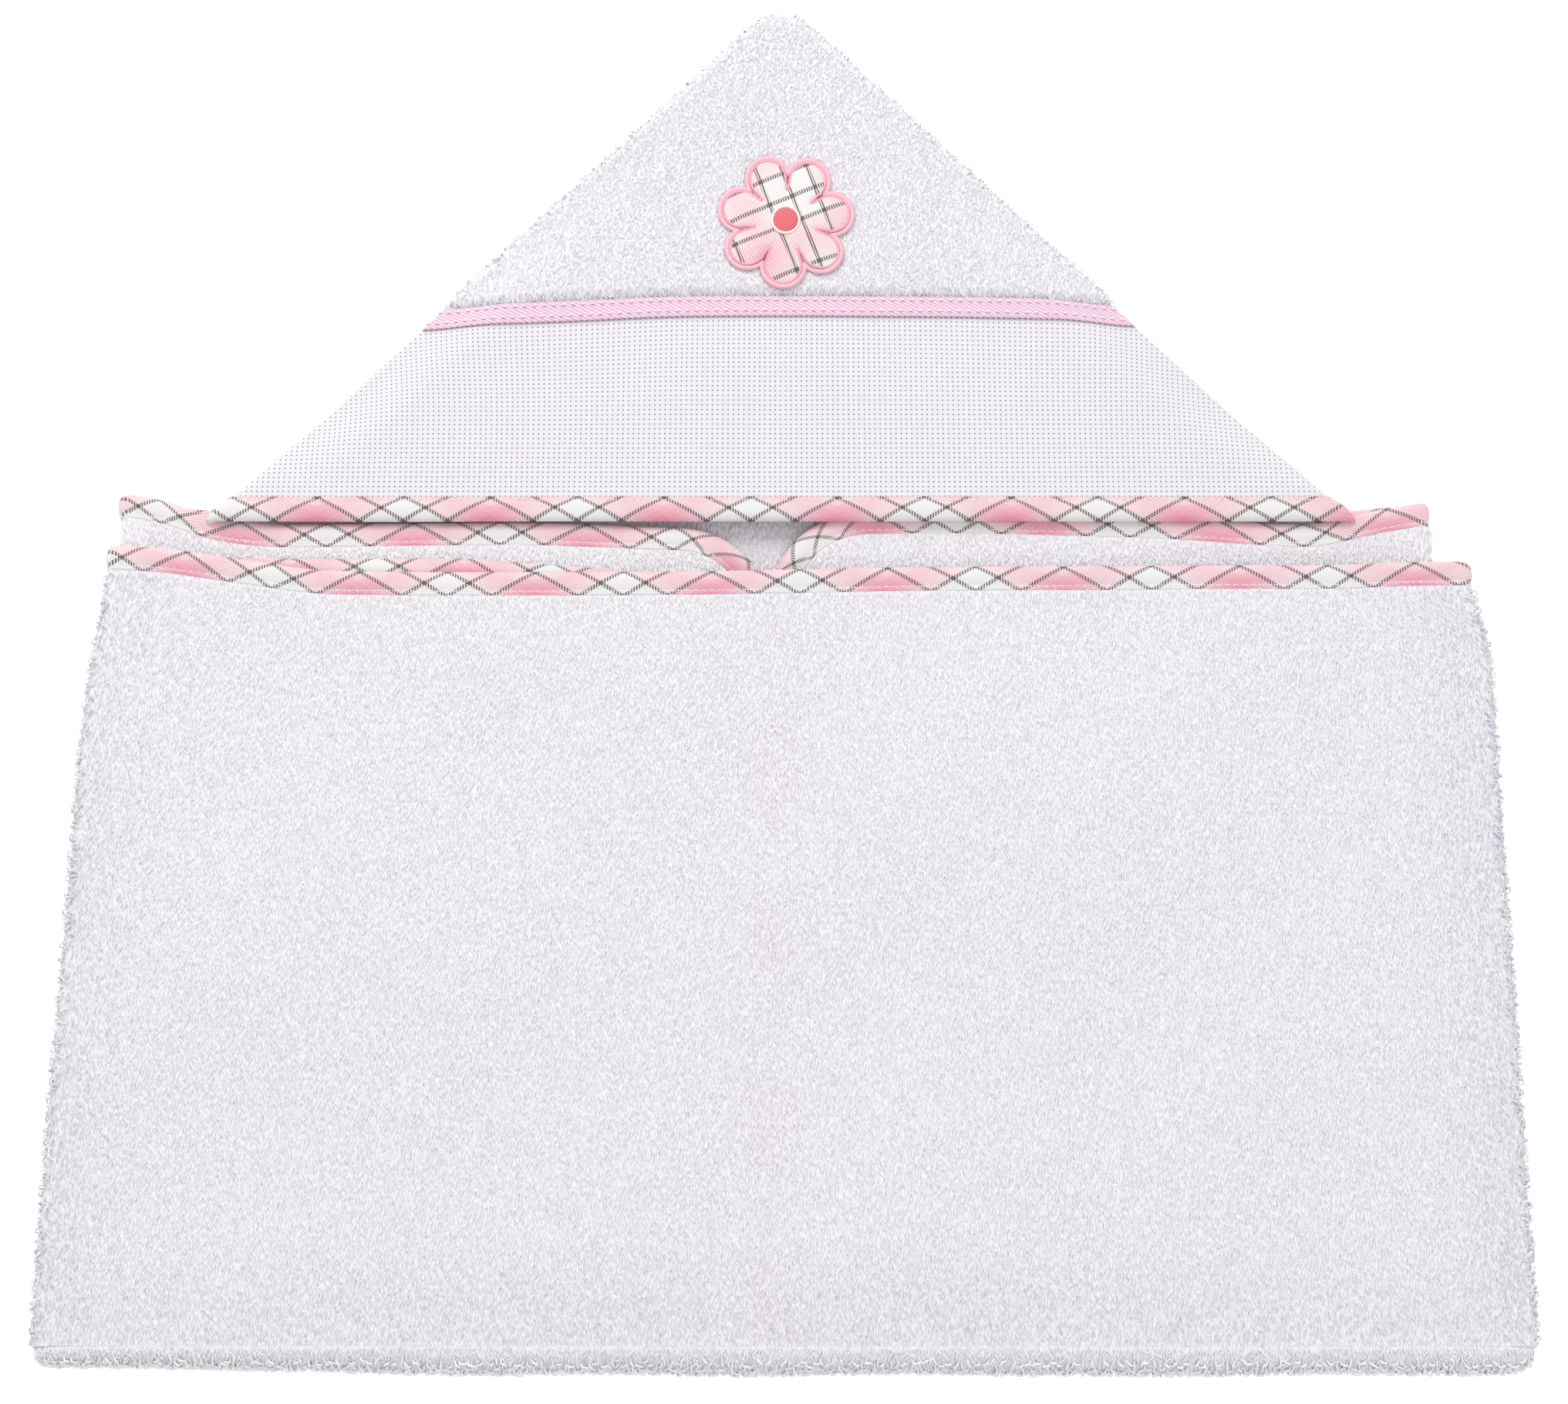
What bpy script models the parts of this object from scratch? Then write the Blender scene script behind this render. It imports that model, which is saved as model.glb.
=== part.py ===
"""A hooded baby towel, lying flat and folded, with its hood open. Metres, +Z up, hood towards +Y.

The body cloth is one rectangle of terry. Its sides are folded to the middle over the front, then
its bottom half is folded up in front, so four layers lie on each other. The hood is sewn to the
middle of the top edge. The origin is the middle of the footprint, on the surface it lies on.
"""

import math

import bmesh
import bpy

# Driving dimensions.
TOWEL_WIDTH = 0.472  # side fold to side fold
TOTAL_LENGTH = 0.493  # bottom fold to the hood's tip
FRONT_HEIGHT = 0.268  # bottom fold to the front panel's bound edge
HOOD_HEIGHT = 0.205  # the hood's free front edge to its tip
HOOD_HALF_ANGLE = math.radians(43.5)  # between the hood's middle line and a leg
HOOD_TIP_RADIUS = 0.007
NECK_OVERHANG = 0.006  # how far the hood's front edge hangs over the body's top edge
TERRY = 0.0040  # one layer of terry with its pile, as it lies
PRESSED_TERRY = 0.0024  # the same cloth pressed inside a binding
PLY_GAP = 0.0004  # air between two layers
AIR = 0.0003  # between pieces that touch
BINDING_DEPTH = 0.0090  # from the bound edge inwards
BINDING_WALL = 0.0005
CORNER_RADIUS = 0.032  # of the body cloth's corners
MIDDLE_GAP = 0.0003  # from the middle line to each flap's binding
MISFOLD = 0.040  # how far the lower left flap's top edge climbs per metre of width
AIDA = 0.0015
AIDA_HEIGHT = 0.078  # the hood's front edge to the tape
TAPE_WIDTH = 0.008
TAPE_THICKNESS = 0.0007
MOUTH_LIFT = 0.0095  # underside of the hood's front at its mouth, above the surface
MOUTH_DEPTH = 0.040  # how far in from the neck the front stays lifted
CREASE_RAMP = 0.028  # width over which the front comes down to the creases
THREAD = 0.00025  # radius
FLOWER_ABOVE_TAPE = 0.0297
PETALS = 7
PETAL_CENTRE = 0.0165  # from the flower's middle
PETAL_RADIUS = 0.0083
PETAL_PHASE = math.radians(-97)
HOOD_PIVOT_Z = 0.0163

# Places worked out from them.
BOTTOM_Y = -TOTAL_LENGTH / 2
TIP_Y = TOTAL_LENGTH / 2
LIP_Y = TIP_Y - HOOD_HEIGHT
NECK_Y = LIP_Y + NECK_OVERHANG
NECK_SEAM_Y = NECK_Y - PLY_GAP  # where the hood's back starts
FRONT_TOP_Y = BOTTOM_Y + FRONT_HEIGHT
PITCH = TERRY + PLY_GAP
BACK_Z, UPPER_FLAP_Z, LOWER_FLAP_Z, FRONT_Z = (TERRY / 2 + PITCH * layer for layer in range(4))
FOLD_RADIUS = (4 * TERRY + 3 * PLY_GAP) / 2
FOLD_Y = BOTTOM_Y + FOLD_RADIUS
FOLD_Z = FOLD_RADIUS
FRONT_START_Y = FOLD_Y + FOLD_RADIUS + AIR
SIDE_X = TOWEL_WIDTH / 2 - TERRY - PLY_GAP / 2
EDGE_INSET = AIR + BINDING_WALL
TONGUE = BINDING_DEPTH + AIR
HOOD_PIVOT_Y = LIP_Y - AIR
SHARP_TIP_Y = TIP_Y + HOOD_TIP_RADIUS * (1 / math.sin(HOOD_HALF_ANGLE) - 1)
TAPE_LOW_Y = LIP_Y + AIDA_HEIGHT
TAPE_TOP_Y = TAPE_LOW_Y + TAPE_WIDTH
FLOWER_Y = TAPE_TOP_Y + FLOWER_ABOVE_TAPE

ARC_STEPS = 8
STEP_SLOPE = 0.0005  # run of the small slope where a layer thins into its binding

TERRY_WHITE = (0.87, 0.86, 0.88)
AIDA_WHITE = (0.90, 0.89, 0.90)
PLAID_PINK = (0.87, 0.58, 0.63)
TAPE_PINK = (0.87, 0.56, 0.75)
SATIN_PINK = (0.90, 0.45, 0.56)
CORAL = (0.86, 0.26, 0.30)
CREAM = (0.88, 0.80, 0.68)
THREAD_WHITE = (0.90, 0.88, 0.88)


def clear_scene():
    for old in list(bpy.data.objects):
        bpy.data.objects.remove(old)


def smooth_step(value):
    """0 below 0, 1 above 1, and an even S between."""
    value = min(max(value, 0), 1)
    return value * value * (3 - 2 * value)


def finish_with(piece, colour, roughness):
    """Gives the piece its own plain material."""
    material = bpy.data.materials.new(piece.name)
    material.use_nodes = True
    shader = material.node_tree.nodes["Principled BSDF"]
    shader.inputs["Base Color"].default_value = (*colour, 1)
    shader.inputs["Roughness"].default_value = roughness
    shader.inputs["Metallic"].default_value = 0
    piece.data.materials.append(material)


def piece_from(name, bm, parent, colour, roughness=0.95, smooth_angle=None):
    """Closes the mesh off as an object under its pivot, with its faces pointing out."""
    bmesh.ops.recalc_face_normals(bm, faces=bm.faces)
    bmesh.ops.triangulate(bm, faces=[face for face in bm.faces if len(face.verts) > 4])
    mesh = bpy.data.meshes.new(name)
    bm.to_mesh(mesh)
    bm.free()
    if smooth_angle is not None:
        mesh.shade_smooth()
        mesh.set_sharp_from_angle(angle=smooth_angle)
    piece = bpy.data.objects.new(name, mesh)
    bpy.context.scene.collection.objects.link(piece)
    piece.parent = parent
    piece.matrix_parent_inverse = parent.matrix_world.inverted()
    finish_with(piece, colour, roughness)
    return piece


def pivot(name, location):
    """An empty on a hinge's axis, which is along X."""
    empty = bpy.data.objects.new(name, None)
    empty.location = location
    bpy.context.scene.collection.objects.link(empty)
    bpy.context.view_layer.update()
    return empty


def loft(rings, loop=False):
    """A closed body through rings of points, with an end face on the first and the last ring."""
    bm = bmesh.new()
    made = [[bm.verts.new(point) for point in ring] for ring in rings]
    pairs = list(zip(made, made[1:]))
    if loop:
        pairs.append((made[-1], made[0]))
    else:
        bm.faces.new(made[0])
        bm.faces.new(made[-1])
    for near, far in pairs:
        for index in range(len(near)):
            following = (index + 1) % len(near)
            bm.faces.new((near[index], near[following], far[following], far[index]))
    return bm


def slab_ring(y, half_width, middle_z, thickness):
    """A flat layer's outline across the towel."""
    low = middle_z - thickness / 2
    high = middle_z + thickness / 2
    return [(-half_width, y, low), (half_width, y, low), (half_width, y, high), (-half_width, y, high)]


def make_panel(name, parent, middle_z, start_y, edge_y):
    """A flat layer between the side folds, pressed thin along its bound top edge."""
    half_width = SIDE_X - AIR / 2
    step_y = edge_y - EDGE_INSET - TONGUE
    rings = [
        slab_ring(start_y, half_width, middle_z, TERRY),
        slab_ring(step_y - STEP_SLOPE, half_width, middle_z, TERRY),
        slab_ring(step_y, half_width, middle_z, PRESSED_TERRY),
        slab_ring(edge_y - EDGE_INSET, half_width, middle_z, PRESSED_TERRY),
    ]
    return piece_from(name, loft(rings), parent, TERRY_WHITE)


def flap_ring(y, thickness, step_x, end_x):
    """A flap's outline across: round the side fold from the panel's level, then in to the middle.

    It is drawn for the left upper flap. The last stretch, past step_x, is pressed thin.
    """
    middle_z = (BACK_Z + UPPER_FLAP_Z) / 2
    turn = (UPPER_FLAP_Z - BACK_Z) / 2
    outer = []
    inner = []
    for step in range(ARC_STEPS + 1):
        angle = -math.pi / 2 - math.pi * step / ARC_STEPS
        for side, points in ((1, outer), (-1, inner)):
            radius = turn + side * thickness / 2
            points.append((-SIDE_X + radius * math.cos(angle), y, middle_z + radius * math.sin(angle)))
    for side, points in ((1, outer), (-1, inner)):
        thick_z = UPPER_FLAP_Z + side * thickness / 2
        thin_z = UPPER_FLAP_Z + side * PRESSED_TERRY / 2
        points.append((step_x, y, thick_z))
        points.append((step_x + STEP_SLOPE, y, thin_z))
        points.append((end_x, y, thin_z))
    return outer + inner[::-1]


def flap_rings(start_y, edge_y):
    """The left upper flap from the bottom fold to its bound top edge, with its rounded corner."""
    corner_x = -(MIDDLE_GAP + CORNER_RADIUS)
    corner_y = edge_y - CORNER_RADIUS
    cut_radius = CORNER_RADIUS - EDGE_INSET
    thick_radius = cut_radius - TONGUE

    def end_x(y):
        rise = max(y - corner_y, 0)
        return corner_x + math.sqrt(max(cut_radius**2 - rise**2, 0))

    rings = [flap_ring(start_y, TERRY, corner_x + thick_radius, end_x(start_y))]
    for step in range(ARC_STEPS + 1):
        angle = math.pi / 2 * step / ARC_STEPS
        y = corner_y + thick_radius * math.sin(angle)
        rings.append(flap_ring(y, TERRY, corner_x + thick_radius * math.cos(angle), end_x(y)))
    thin_start = corner_y + thick_radius + STEP_SLOPE
    thin_end = corner_y + cut_radius
    for share in (0, 0.4, 0.7, 0.9, 0.98):
        y = thin_start + (thin_end - thin_start) * share
        rings.append(flap_ring(y, PRESSED_TERRY, corner_x - 0.002, end_x(y)))
    return rings


def mirrored(rings, flip_x=False, flip_z=False):
    """The same rings on the other side of the middle line, or of the bottom fold's level."""
    sign_x = -1 if flip_x else 1
    return [
        [(sign_x * x, y, 2 * FOLD_Z - z if flip_z else z) for x, y, z in ring] for ring in rings
    ]


def misfold(point):
    """Slants the lower left flap: its top edge climbs towards the middle. Other places stay."""
    x, y, z = point
    under_front = z < FRONT_Z - TERRY / 2 - PLY_GAP / 2
    if not under_front or not -SIDE_X < x < 0:
        return point
    share = (y - FOLD_Y) / FRONT_HEIGHT
    return (x, y + MISFOLD * (x + SIDE_X) * share, z)


def binding_profile(cloth_thickness):
    """The binding's U, as distance in from the cloth's edge and height off the cloth's middle."""
    inner = cloth_thickness / 2 + AIR
    outer = inner + BINDING_WALL
    nose = outer * 0.4
    depth = BINDING_DEPTH - EDGE_INSET
    return [
        (depth, outer),
        (nose - EDGE_INSET, outer),
        (-EDGE_INSET, outer - nose),
        (-EDGE_INSET, nose - outer),
        (nose - EDGE_INSET, -outer),
        (depth, -outer),
        (depth, -inner),
        (-AIR, -inner),
        (-AIR, inner),
        (depth, inner),
    ]


def swept(stations, profile):
    """Rings of the profile at each station: a point on the cloth's edge, inward and outward."""
    rings = []
    for (x, y, z), inward, outward in stations:
        rings.append(
            [
                (
                    x + deep * inward[0] + high * outward[0],
                    y + deep * inward[1] + high * outward[1],
                    z + deep * inward[2] + high * outward[2],
                )
                for deep, high in profile
            ]
        )
    return rings


def edge_stations(start_x, start_y, edge_y):
    """Along the left side's edge: out on the back panel, round the side fold, in, and down."""
    cut_y = edge_y - EDGE_INSET
    turn_z = (BACK_Z + UPPER_FLAP_Z) / 2
    turn = (UPPER_FLAP_Z - BACK_Z) / 2
    down = (0, -1, 0)
    stations = [((start_x, cut_y, BACK_Z), down, (0, 0, -1))]
    for step in range(ARC_STEPS + 1):
        angle = -math.pi / 2 - math.pi * step / ARC_STEPS
        outward = (math.cos(angle), 0, math.sin(angle))
        place = (-SIDE_X + turn * outward[0], cut_y, turn_z + turn * outward[2])
        stations.append((place, down, outward))
    corner_x = -(MIDDLE_GAP + CORNER_RADIUS)
    corner_y = edge_y - CORNER_RADIUS
    cut_radius = CORNER_RADIUS - EDGE_INSET
    up = (0, 0, 1)
    for step in range(ARC_STEPS + 1):
        angle = math.pi / 2 * (1 - step / ARC_STEPS)
        ray = (math.cos(angle), math.sin(angle), 0)
        place = (corner_x + cut_radius * ray[0], corner_y + cut_radius * ray[1], UPPER_FLAP_Z)
        stations.append((place, (-ray[0], -ray[1], 0), up))
    stations.append(((corner_x + cut_radius, start_y, UPPER_FLAP_Z), (-1, 0, 0), up))
    return stations


def thread(name, points, parent):
    """A line of stitching, as a thin round thread that lies along the cloth."""
    curve = bpy.data.curves.new(name, "CURVE")
    curve.dimensions = "3D"
    curve.bevel_depth = THREAD
    curve.bevel_resolution = 1
    curve.use_fill_caps = True
    spline = curve.splines.new("POLY")
    spline.points.add(len(points) - 1)
    for spot, point in zip(spline.points, points):
        spot.co = (*point, 1)
    piece = bpy.data.objects.new(name, curve)
    bpy.context.scene.collection.objects.link(piece)
    piece.parent = parent
    piece.matrix_parent_inverse = parent.matrix_world.inverted()
    finish_with(piece, THREAD_WHITE, 0.8)
    return piece


def hood_half_width(y):
    """Half the hood's width at this distance up, with its rounded tip."""
    centre_y = TIP_Y - HOOD_TIP_RADIUS
    if y <= centre_y + HOOD_TIP_RADIUS * math.sin(HOOD_HALF_ANGLE):
        return (SHARP_TIP_Y - y) * math.tan(HOOD_HALF_ANGLE)
    return math.sqrt(max(HOOD_TIP_RADIUS**2 - (y - centre_y) ** 2, 0.0008**2))


def front_underside(x, y):
    """Height of the underside of the hood's front: lifted at the mouth, down at the creases."""
    low = TERRY + PLY_GAP
    lift = MOUTH_LIFT - low
    inside = (y - NECK_Y - MOUTH_DEPTH) / (TIP_Y - 0.02 - NECK_Y - MOUTH_DEPTH)
    middle = low + lift * (1 - smooth_step(inside))
    crease = low + lift * (1 - smooth_step((y - NECK_Y - 0.004) / 0.036))
    crease = min(crease, middle)
    in_from_leg = (hood_half_width(y) - abs(x)) / CREASE_RAMP
    return crease + (middle - crease) * smooth_step(in_from_leg)


def hood_columns(y):
    """Places across the hood, close together near the creases."""
    half = hood_half_width(y)
    ramp = min(CREASE_RAMP, 0.7 * half)
    right = [half - ramp * share for share in (0, 0.25, 0.5, 0.75, 1)]
    right.append((half - ramp) / 2)
    return [-x for x in right] + [0] + right[::-1]


def hood_ring(y, below, thickness):
    """A layer of the hood's front across, at this height over the front's underside."""
    columns = hood_columns(y)
    lower = [(x, y, front_underside(x, y) + below) for x in columns]
    upper = [(x, y, z + thickness) for x, y, z in lower]
    return lower + upper[::-1]


def spread(start, end, count):
    return [start + (end - start) * index / (count - 1) for index in range(count)]


def rounded_tip_stations():
    """Places up the tip's round, closer together towards its end."""
    centre_y = TIP_Y - HOOD_TIP_RADIUS
    angles = spread(HOOD_HALF_ANGLE, math.pi / 2, 5)
    return [centre_y + HOOD_TIP_RADIUS * math.sin(angle) for angle in angles]


def make_root(parent):
    """What stays on the table: the back panel, the upper flaps, the bottom fold and their trims."""
    make_panel("back_panel", parent, BACK_Z, FOLD_Y + AIR, NECK_Y)

    inner = FOLD_RADIUS - TERRY
    fold_half = TOWEL_WIDTH / 2 - 0.002
    rings = []
    for x in (-fold_half, fold_half):
        arc = [math.pi / 2 + math.pi * step / (2 * ARC_STEPS) for step in range(2 * ARC_STEPS + 1)]
        outside = [(FOLD_RADIUS * math.cos(a), FOLD_RADIUS * math.sin(a)) for a in arc]
        inside = [(inner * math.cos(a), inner * math.sin(a)) for a in reversed(arc)]
        rings.append([(x, FOLD_Y + y, FOLD_Z + z) for y, z in outside + inside])
    piece_from("bottom_fold", loft(rings), parent, TERRY_WHITE, 0.95, math.radians(40))

    turn_radius = inner - PLY_GAP
    for side, sign in (("left", -1), ("right", 1)):
        rings = []
        for x in (sign * (SIDE_X - AIR), sign * MIDDLE_GAP):
            arc = [math.pi / 2 + math.pi * step / ARC_STEPS for step in range(ARC_STEPS + 1)]
            rings.append(
                [(x, FOLD_Y + turn_radius * math.cos(a), FOLD_Z + turn_radius * math.sin(a)) for a in arc]
            )
        name = f"flap_turn_{side}"
        piece_from(name, loft(rings), parent, TERRY_WHITE, 0.95, math.radians(40))

        flap = mirrored(flap_rings(FOLD_Y + AIR, NECK_Y), flip_x=sign > 0)
        piece_from(f"upper_flap_{side}", loft(flap), parent, TERRY_WHITE)

        hood_end_x = -(hood_half_width(NECK_SEAM_Y) + AIR)
        stations = edge_stations(hood_end_x, FOLD_Y + AIR, NECK_Y)
        binding = mirrored(swept(stations, binding_profile(PRESSED_TERRY)), flip_x=sign > 0)
        piece_from(f"edge_binding_{side}", loft(binding), parent, PLAID_PINK, 0.85)

        stitch_y = NECK_Y - BINDING_DEPTH + 0.0013
        stitch_z = UPPER_FLAP_Z + TERRY / 2 + AIR + THREAD
        ends = (sign * SIDE_X, sign * (MIDDLE_GAP + CORNER_RADIUS))
        thread(f"edge_stitching_{side}", [(x, stitch_y, stitch_z) for x in ends], parent)


def make_front(parent):
    """What swings open at the bottom fold: the front panel, the lower flaps and their binding."""
    make_panel("front_panel", parent, FRONT_Z, FRONT_START_Y, FRONT_TOP_Y)

    for side, sign in (("left", -1), ("right", 1)):
        flap = mirrored(flap_rings(FRONT_START_Y, FRONT_TOP_Y), flip_x=sign > 0, flip_z=True)
        flap = [[misfold(point) for point in ring] for ring in flap]
        piece_from(f"lower_flap_{side}", loft(flap), parent, TERRY_WHITE)

    profile = binding_profile(PRESSED_TERRY)
    left = mirrored(swept(edge_stations(0, FRONT_START_Y, FRONT_TOP_Y), profile), flip_z=True)
    right = mirrored(left, flip_x=True)
    rings = left[:0:-1] + right[1:]
    rings = [[misfold(point) for point in ring] for ring in rings]
    piece_from("front_binding", loft(rings), parent, PLAID_PINK, 0.85)

    stitch_y = FRONT_TOP_Y - BINDING_DEPTH + 0.0013
    stitch_z = FRONT_Z + TERRY / 2 + AIR + THREAD
    thread("front_stitching", [(x, stitch_y, stitch_z) for x in (-SIDE_X, SIDE_X)], parent)


def make_hood_cloth(parent):
    """The hood's back, and its front in two cloths that meet under the tape."""
    legs = spread(NECK_SEAM_Y, rounded_tip_stations()[0], 4)
    rings = [slab_ring(y, hood_half_width(y), BACK_Z, TERRY) for y in legs + rounded_tip_stations()[1:]]
    piece_from("hood_back", loft(rings), parent, TERRY_WHITE)

    middle_y = (TAPE_LOW_Y + TAPE_TOP_Y) / 2
    step_y = TAPE_TOP_Y + AIR
    rings = [hood_ring(y, 0, AIDA) for y in (middle_y + AIR / 2, step_y)]
    legs = spread(step_y + STEP_SLOPE, rounded_tip_stations()[0], 9)
    rings += [hood_ring(y, 0, TERRY) for y in legs + rounded_tip_stations()[1:]]
    piece_from("hood_front", loft(rings), parent, TERRY_WHITE, 0.95, math.radians(40))

    rings = [hood_ring(y, 0, AIDA) for y in spread(LIP_Y + EDGE_INSET, middle_y - AIR / 2, 13)]
    piece_from("hood_aida_band", loft(rings), parent, AIDA_WHITE, 0.9, math.radians(40))


def make_hood_trims(parent):
    """The tape with its stitches, and the binding on the free front edge."""
    rings = [hood_ring(y, AIDA + AIR, TAPE_THICKNESS) for y in spread(TAPE_LOW_Y, TAPE_TOP_Y, 3)]
    piece_from("hood_tape", loft(rings), parent, TAPE_PINK, 0.7, math.radians(40))

    over_tape = AIDA + AIR + TAPE_THICKNESS + AIR + THREAD
    rows = {"lower": TAPE_LOW_Y + 0.0014, "upper": TAPE_TOP_Y - 0.0014}
    for row, y in rows.items():
        columns = [x for x in hood_columns(y) if abs(x) < hood_half_width(y) - AIR]
        points = [(x, y, front_underside(x, y) + over_tape) for x in columns]
        thread(f"tape_stitching_{row}", points, parent)

    end_x = hood_half_width(LIP_Y + BINDING_DEPTH) - AIR
    stations = []
    for x in (-end_x, 0, end_x):
        place = (x, LIP_Y + EDGE_INSET, front_underside(x, LIP_Y) + AIDA / 2)
        stations.append((place, (0, 1, 0), (0, 0, 1)))
    rings = swept(stations, binding_profile(AIDA))
    piece_from("hood_binding", loft(rings), parent, PLAID_PINK, 0.85)

    stitch_y = LIP_Y + BINDING_DEPTH - 0.0013
    stitch_z = MOUTH_LIFT + AIDA + AIR + BINDING_WALL + AIR + THREAD
    ends = (-end_x + AIR, end_x - AIR)
    thread("hood_stitching", [(x, stitch_y, stitch_z) for x in ends], parent)


def flower_radius(angle, inset):
    """Distance from the flower's middle to its outline, which is a row of round petals."""
    sector = 2 * math.pi / PETALS
    off_petal = (angle - PETAL_PHASE + sector / 2) % sector - sector / 2
    round_part = math.sqrt(PETAL_RADIUS**2 - (PETAL_CENTRE * math.sin(off_petal)) ** 2)
    return PETAL_CENTRE * math.cos(off_petal) + round_part - inset


def petal_outline(inset):
    steps = 8
    count = PETALS * steps
    angles = [PETAL_PHASE + math.pi / PETALS + 2 * math.pi * index / count for index in range(count)]
    return [
        (flower_radius(angle, inset) * math.cos(angle), flower_radius(angle, inset) * math.sin(angle))
        for angle in angles
    ]


def on_hood(x, y, above):
    """A point of the flower, laid on the hood's front."""
    place_y = FLOWER_Y + y
    return (x, place_y, front_underside(x, place_y) + TERRY + above)


def flat_flower(outline, low, high):
    """A closed flat shape of this outline, laid on the hood between two heights."""
    return loft([[on_hood(x, y, above) for x, y in outline] for above in (low, high)])


def hoop(outline, above, radius, sides=6):
    """A closed round cord along the outline, laid on the hood."""
    rings = []
    for x, y in outline:
        distance = math.hypot(x, y)
        ring = []
        for side in range(sides):
            angle = 2 * math.pi * side / sides
            reach = (distance + radius * math.cos(angle)) / distance
            ring.append(on_hood(x * reach, y * reach, above + radius * math.sin(angle)))
        rings.append(ring)
    return loft(rings, loop=True)


def circle(radius, count=20):
    angles = [2 * math.pi * index / count for index in range(count)]
    return [(radius * math.cos(angle), radius * math.sin(angle)) for angle in angles]


def make_flower(parent):
    """The padded flower: wadding, plaid patch, stitched edge, and the ring and the middle on top."""
    edge_radius = 0.0010
    inset = 2 * edge_radius + AIR
    wadding_top = AIR + 0.0012
    patch_top = wadding_top + AIR + 0.0005
    smooth = math.radians(40)
    wadding = flat_flower(petal_outline(inset + 0.0004), AIR, wadding_top)
    piece_from("flower_wadding", wadding, parent, AIDA_WHITE)
    patch = flat_flower(petal_outline(inset + 0.0004), wadding_top + AIR, patch_top)
    piece_from("flower_patch", patch, parent, PLAID_PINK)
    edge = hoop(petal_outline(edge_radius), AIR + edge_radius, edge_radius)
    piece_from("flower_edge_stitching", edge, parent, SATIN_PINK, 0.6, smooth)
    ring = hoop(circle(0.0052), patch_top + AIR + 0.0004, 0.0004)
    piece_from("flower_ring", ring, parent, CREAM, 0.6, smooth)
    middle = flat_flower(circle(0.0044), patch_top + AIR, patch_top + AIR + 0.0007)
    piece_from("flower_middle", middle, parent, CORAL, 0.5)


def main():
    clear_scene()
    ground = pivot("ground", (0, 0, 0))
    front_hinge = pivot("front_hinge", (0, FOLD_Y, FOLD_Z))
    hood_hinge = pivot("hood_hinge", (0, HOOD_PIVOT_Y, HOOD_PIVOT_Z))
    make_root(ground)
    make_front(front_hinge)
    make_hood_cloth(hood_hinge)
    make_hood_trims(hood_hinge)
    make_flower(hood_hinge)


main()
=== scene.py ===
# %% [markdown]
# # A folded, hooded baby towel
# The towel is sewn from a few flat cloths: a terry rectangle folded in four, a terry hood with an
# embroidery-cloth band, plaid bias bindings, a twill tape and a padded flower. The CAD frame gives
# the places and the joints. This lesson dresses that frame with soft, detailed pieces.
# %% Load the frame
import math

import bpy
import numpy as np
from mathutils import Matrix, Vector


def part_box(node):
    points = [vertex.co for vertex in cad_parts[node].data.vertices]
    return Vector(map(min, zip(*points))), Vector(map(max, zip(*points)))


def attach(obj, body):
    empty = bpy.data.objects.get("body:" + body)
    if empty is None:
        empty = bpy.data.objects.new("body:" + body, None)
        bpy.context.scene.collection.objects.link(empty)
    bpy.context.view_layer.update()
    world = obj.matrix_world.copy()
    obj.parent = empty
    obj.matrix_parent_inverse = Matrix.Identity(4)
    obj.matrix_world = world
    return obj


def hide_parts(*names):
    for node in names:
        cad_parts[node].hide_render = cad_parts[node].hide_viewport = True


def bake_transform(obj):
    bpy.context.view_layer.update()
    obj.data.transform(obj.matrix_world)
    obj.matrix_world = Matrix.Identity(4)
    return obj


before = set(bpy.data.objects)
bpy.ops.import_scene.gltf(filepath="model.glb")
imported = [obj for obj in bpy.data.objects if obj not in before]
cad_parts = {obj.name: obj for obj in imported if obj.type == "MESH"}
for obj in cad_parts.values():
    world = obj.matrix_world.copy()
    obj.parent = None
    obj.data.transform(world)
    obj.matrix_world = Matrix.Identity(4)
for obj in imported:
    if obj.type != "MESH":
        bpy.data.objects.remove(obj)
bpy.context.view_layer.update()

# %% [markdown]
# ## Measures
# Every place comes from a box of the frame, so the soft pieces land on their CAD solids with no
# fitting. The bottom fold's box gives the hinge line of the front half, and the layers' boxes
# give the heights of the four layers of cloth.
# %% Measures
back_low, back_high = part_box("back_panel")
neck_low, neck_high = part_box("hood_back")
tape_low, tape_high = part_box("hood_tape")
flap_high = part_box("upper_flap_left")[1]
front_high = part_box("front_panel")[1]
fold_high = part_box("bottom_fold")[1]
lip_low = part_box("hood_binding")[0]

TERRY = back_high.z - back_low.z  # one layer with its pile
FOLD_Y = fold_high.y  # where the flat layers end and the bottom fold starts
FOLD_Z = fold_high.z / 2
BACK_Z = TERRY / 2
FRONT_Z = 2 * FOLD_Z - BACK_Z
UPPER_Z = flap_high.z - TERRY / 2
LOWER_Z = 2 * FOLD_Z - UPPER_Z
TURN = (UPPER_Z - BACK_Z) / 2  # radius of a side fold, at the cloth's middle
SIDE_X = back_high.x  # where the flat layers end and the side folds start
MIDDLE_GAP = 0.0003  # from the middle line to each flap's free edge
EDGE_PROUD = 0.0008  # how far the cloth's bound edge stands past the panel's box
NECK_Y = back_high.y + EDGE_PROUD  # top edge of the back half
FRONT_Y = front_high.y + EDGE_PROUD  # top edge of the front half
HOOD_LOW_Y = neck_low.y
LIP_Y = lip_low.y  # the hood's free, bound edge
TIP_Y = neck_high.y
TAPE_LOW_Y = tape_low.y
TAPE_TOP_Y = tape_high.y
CORNER = 0.032  # radius of the towel's corners
BINDING = 0.009  # how far a binding reaches in from the edge
CLEAR = 0.0011  # room left on each side of the bottom fold's hinge line
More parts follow.
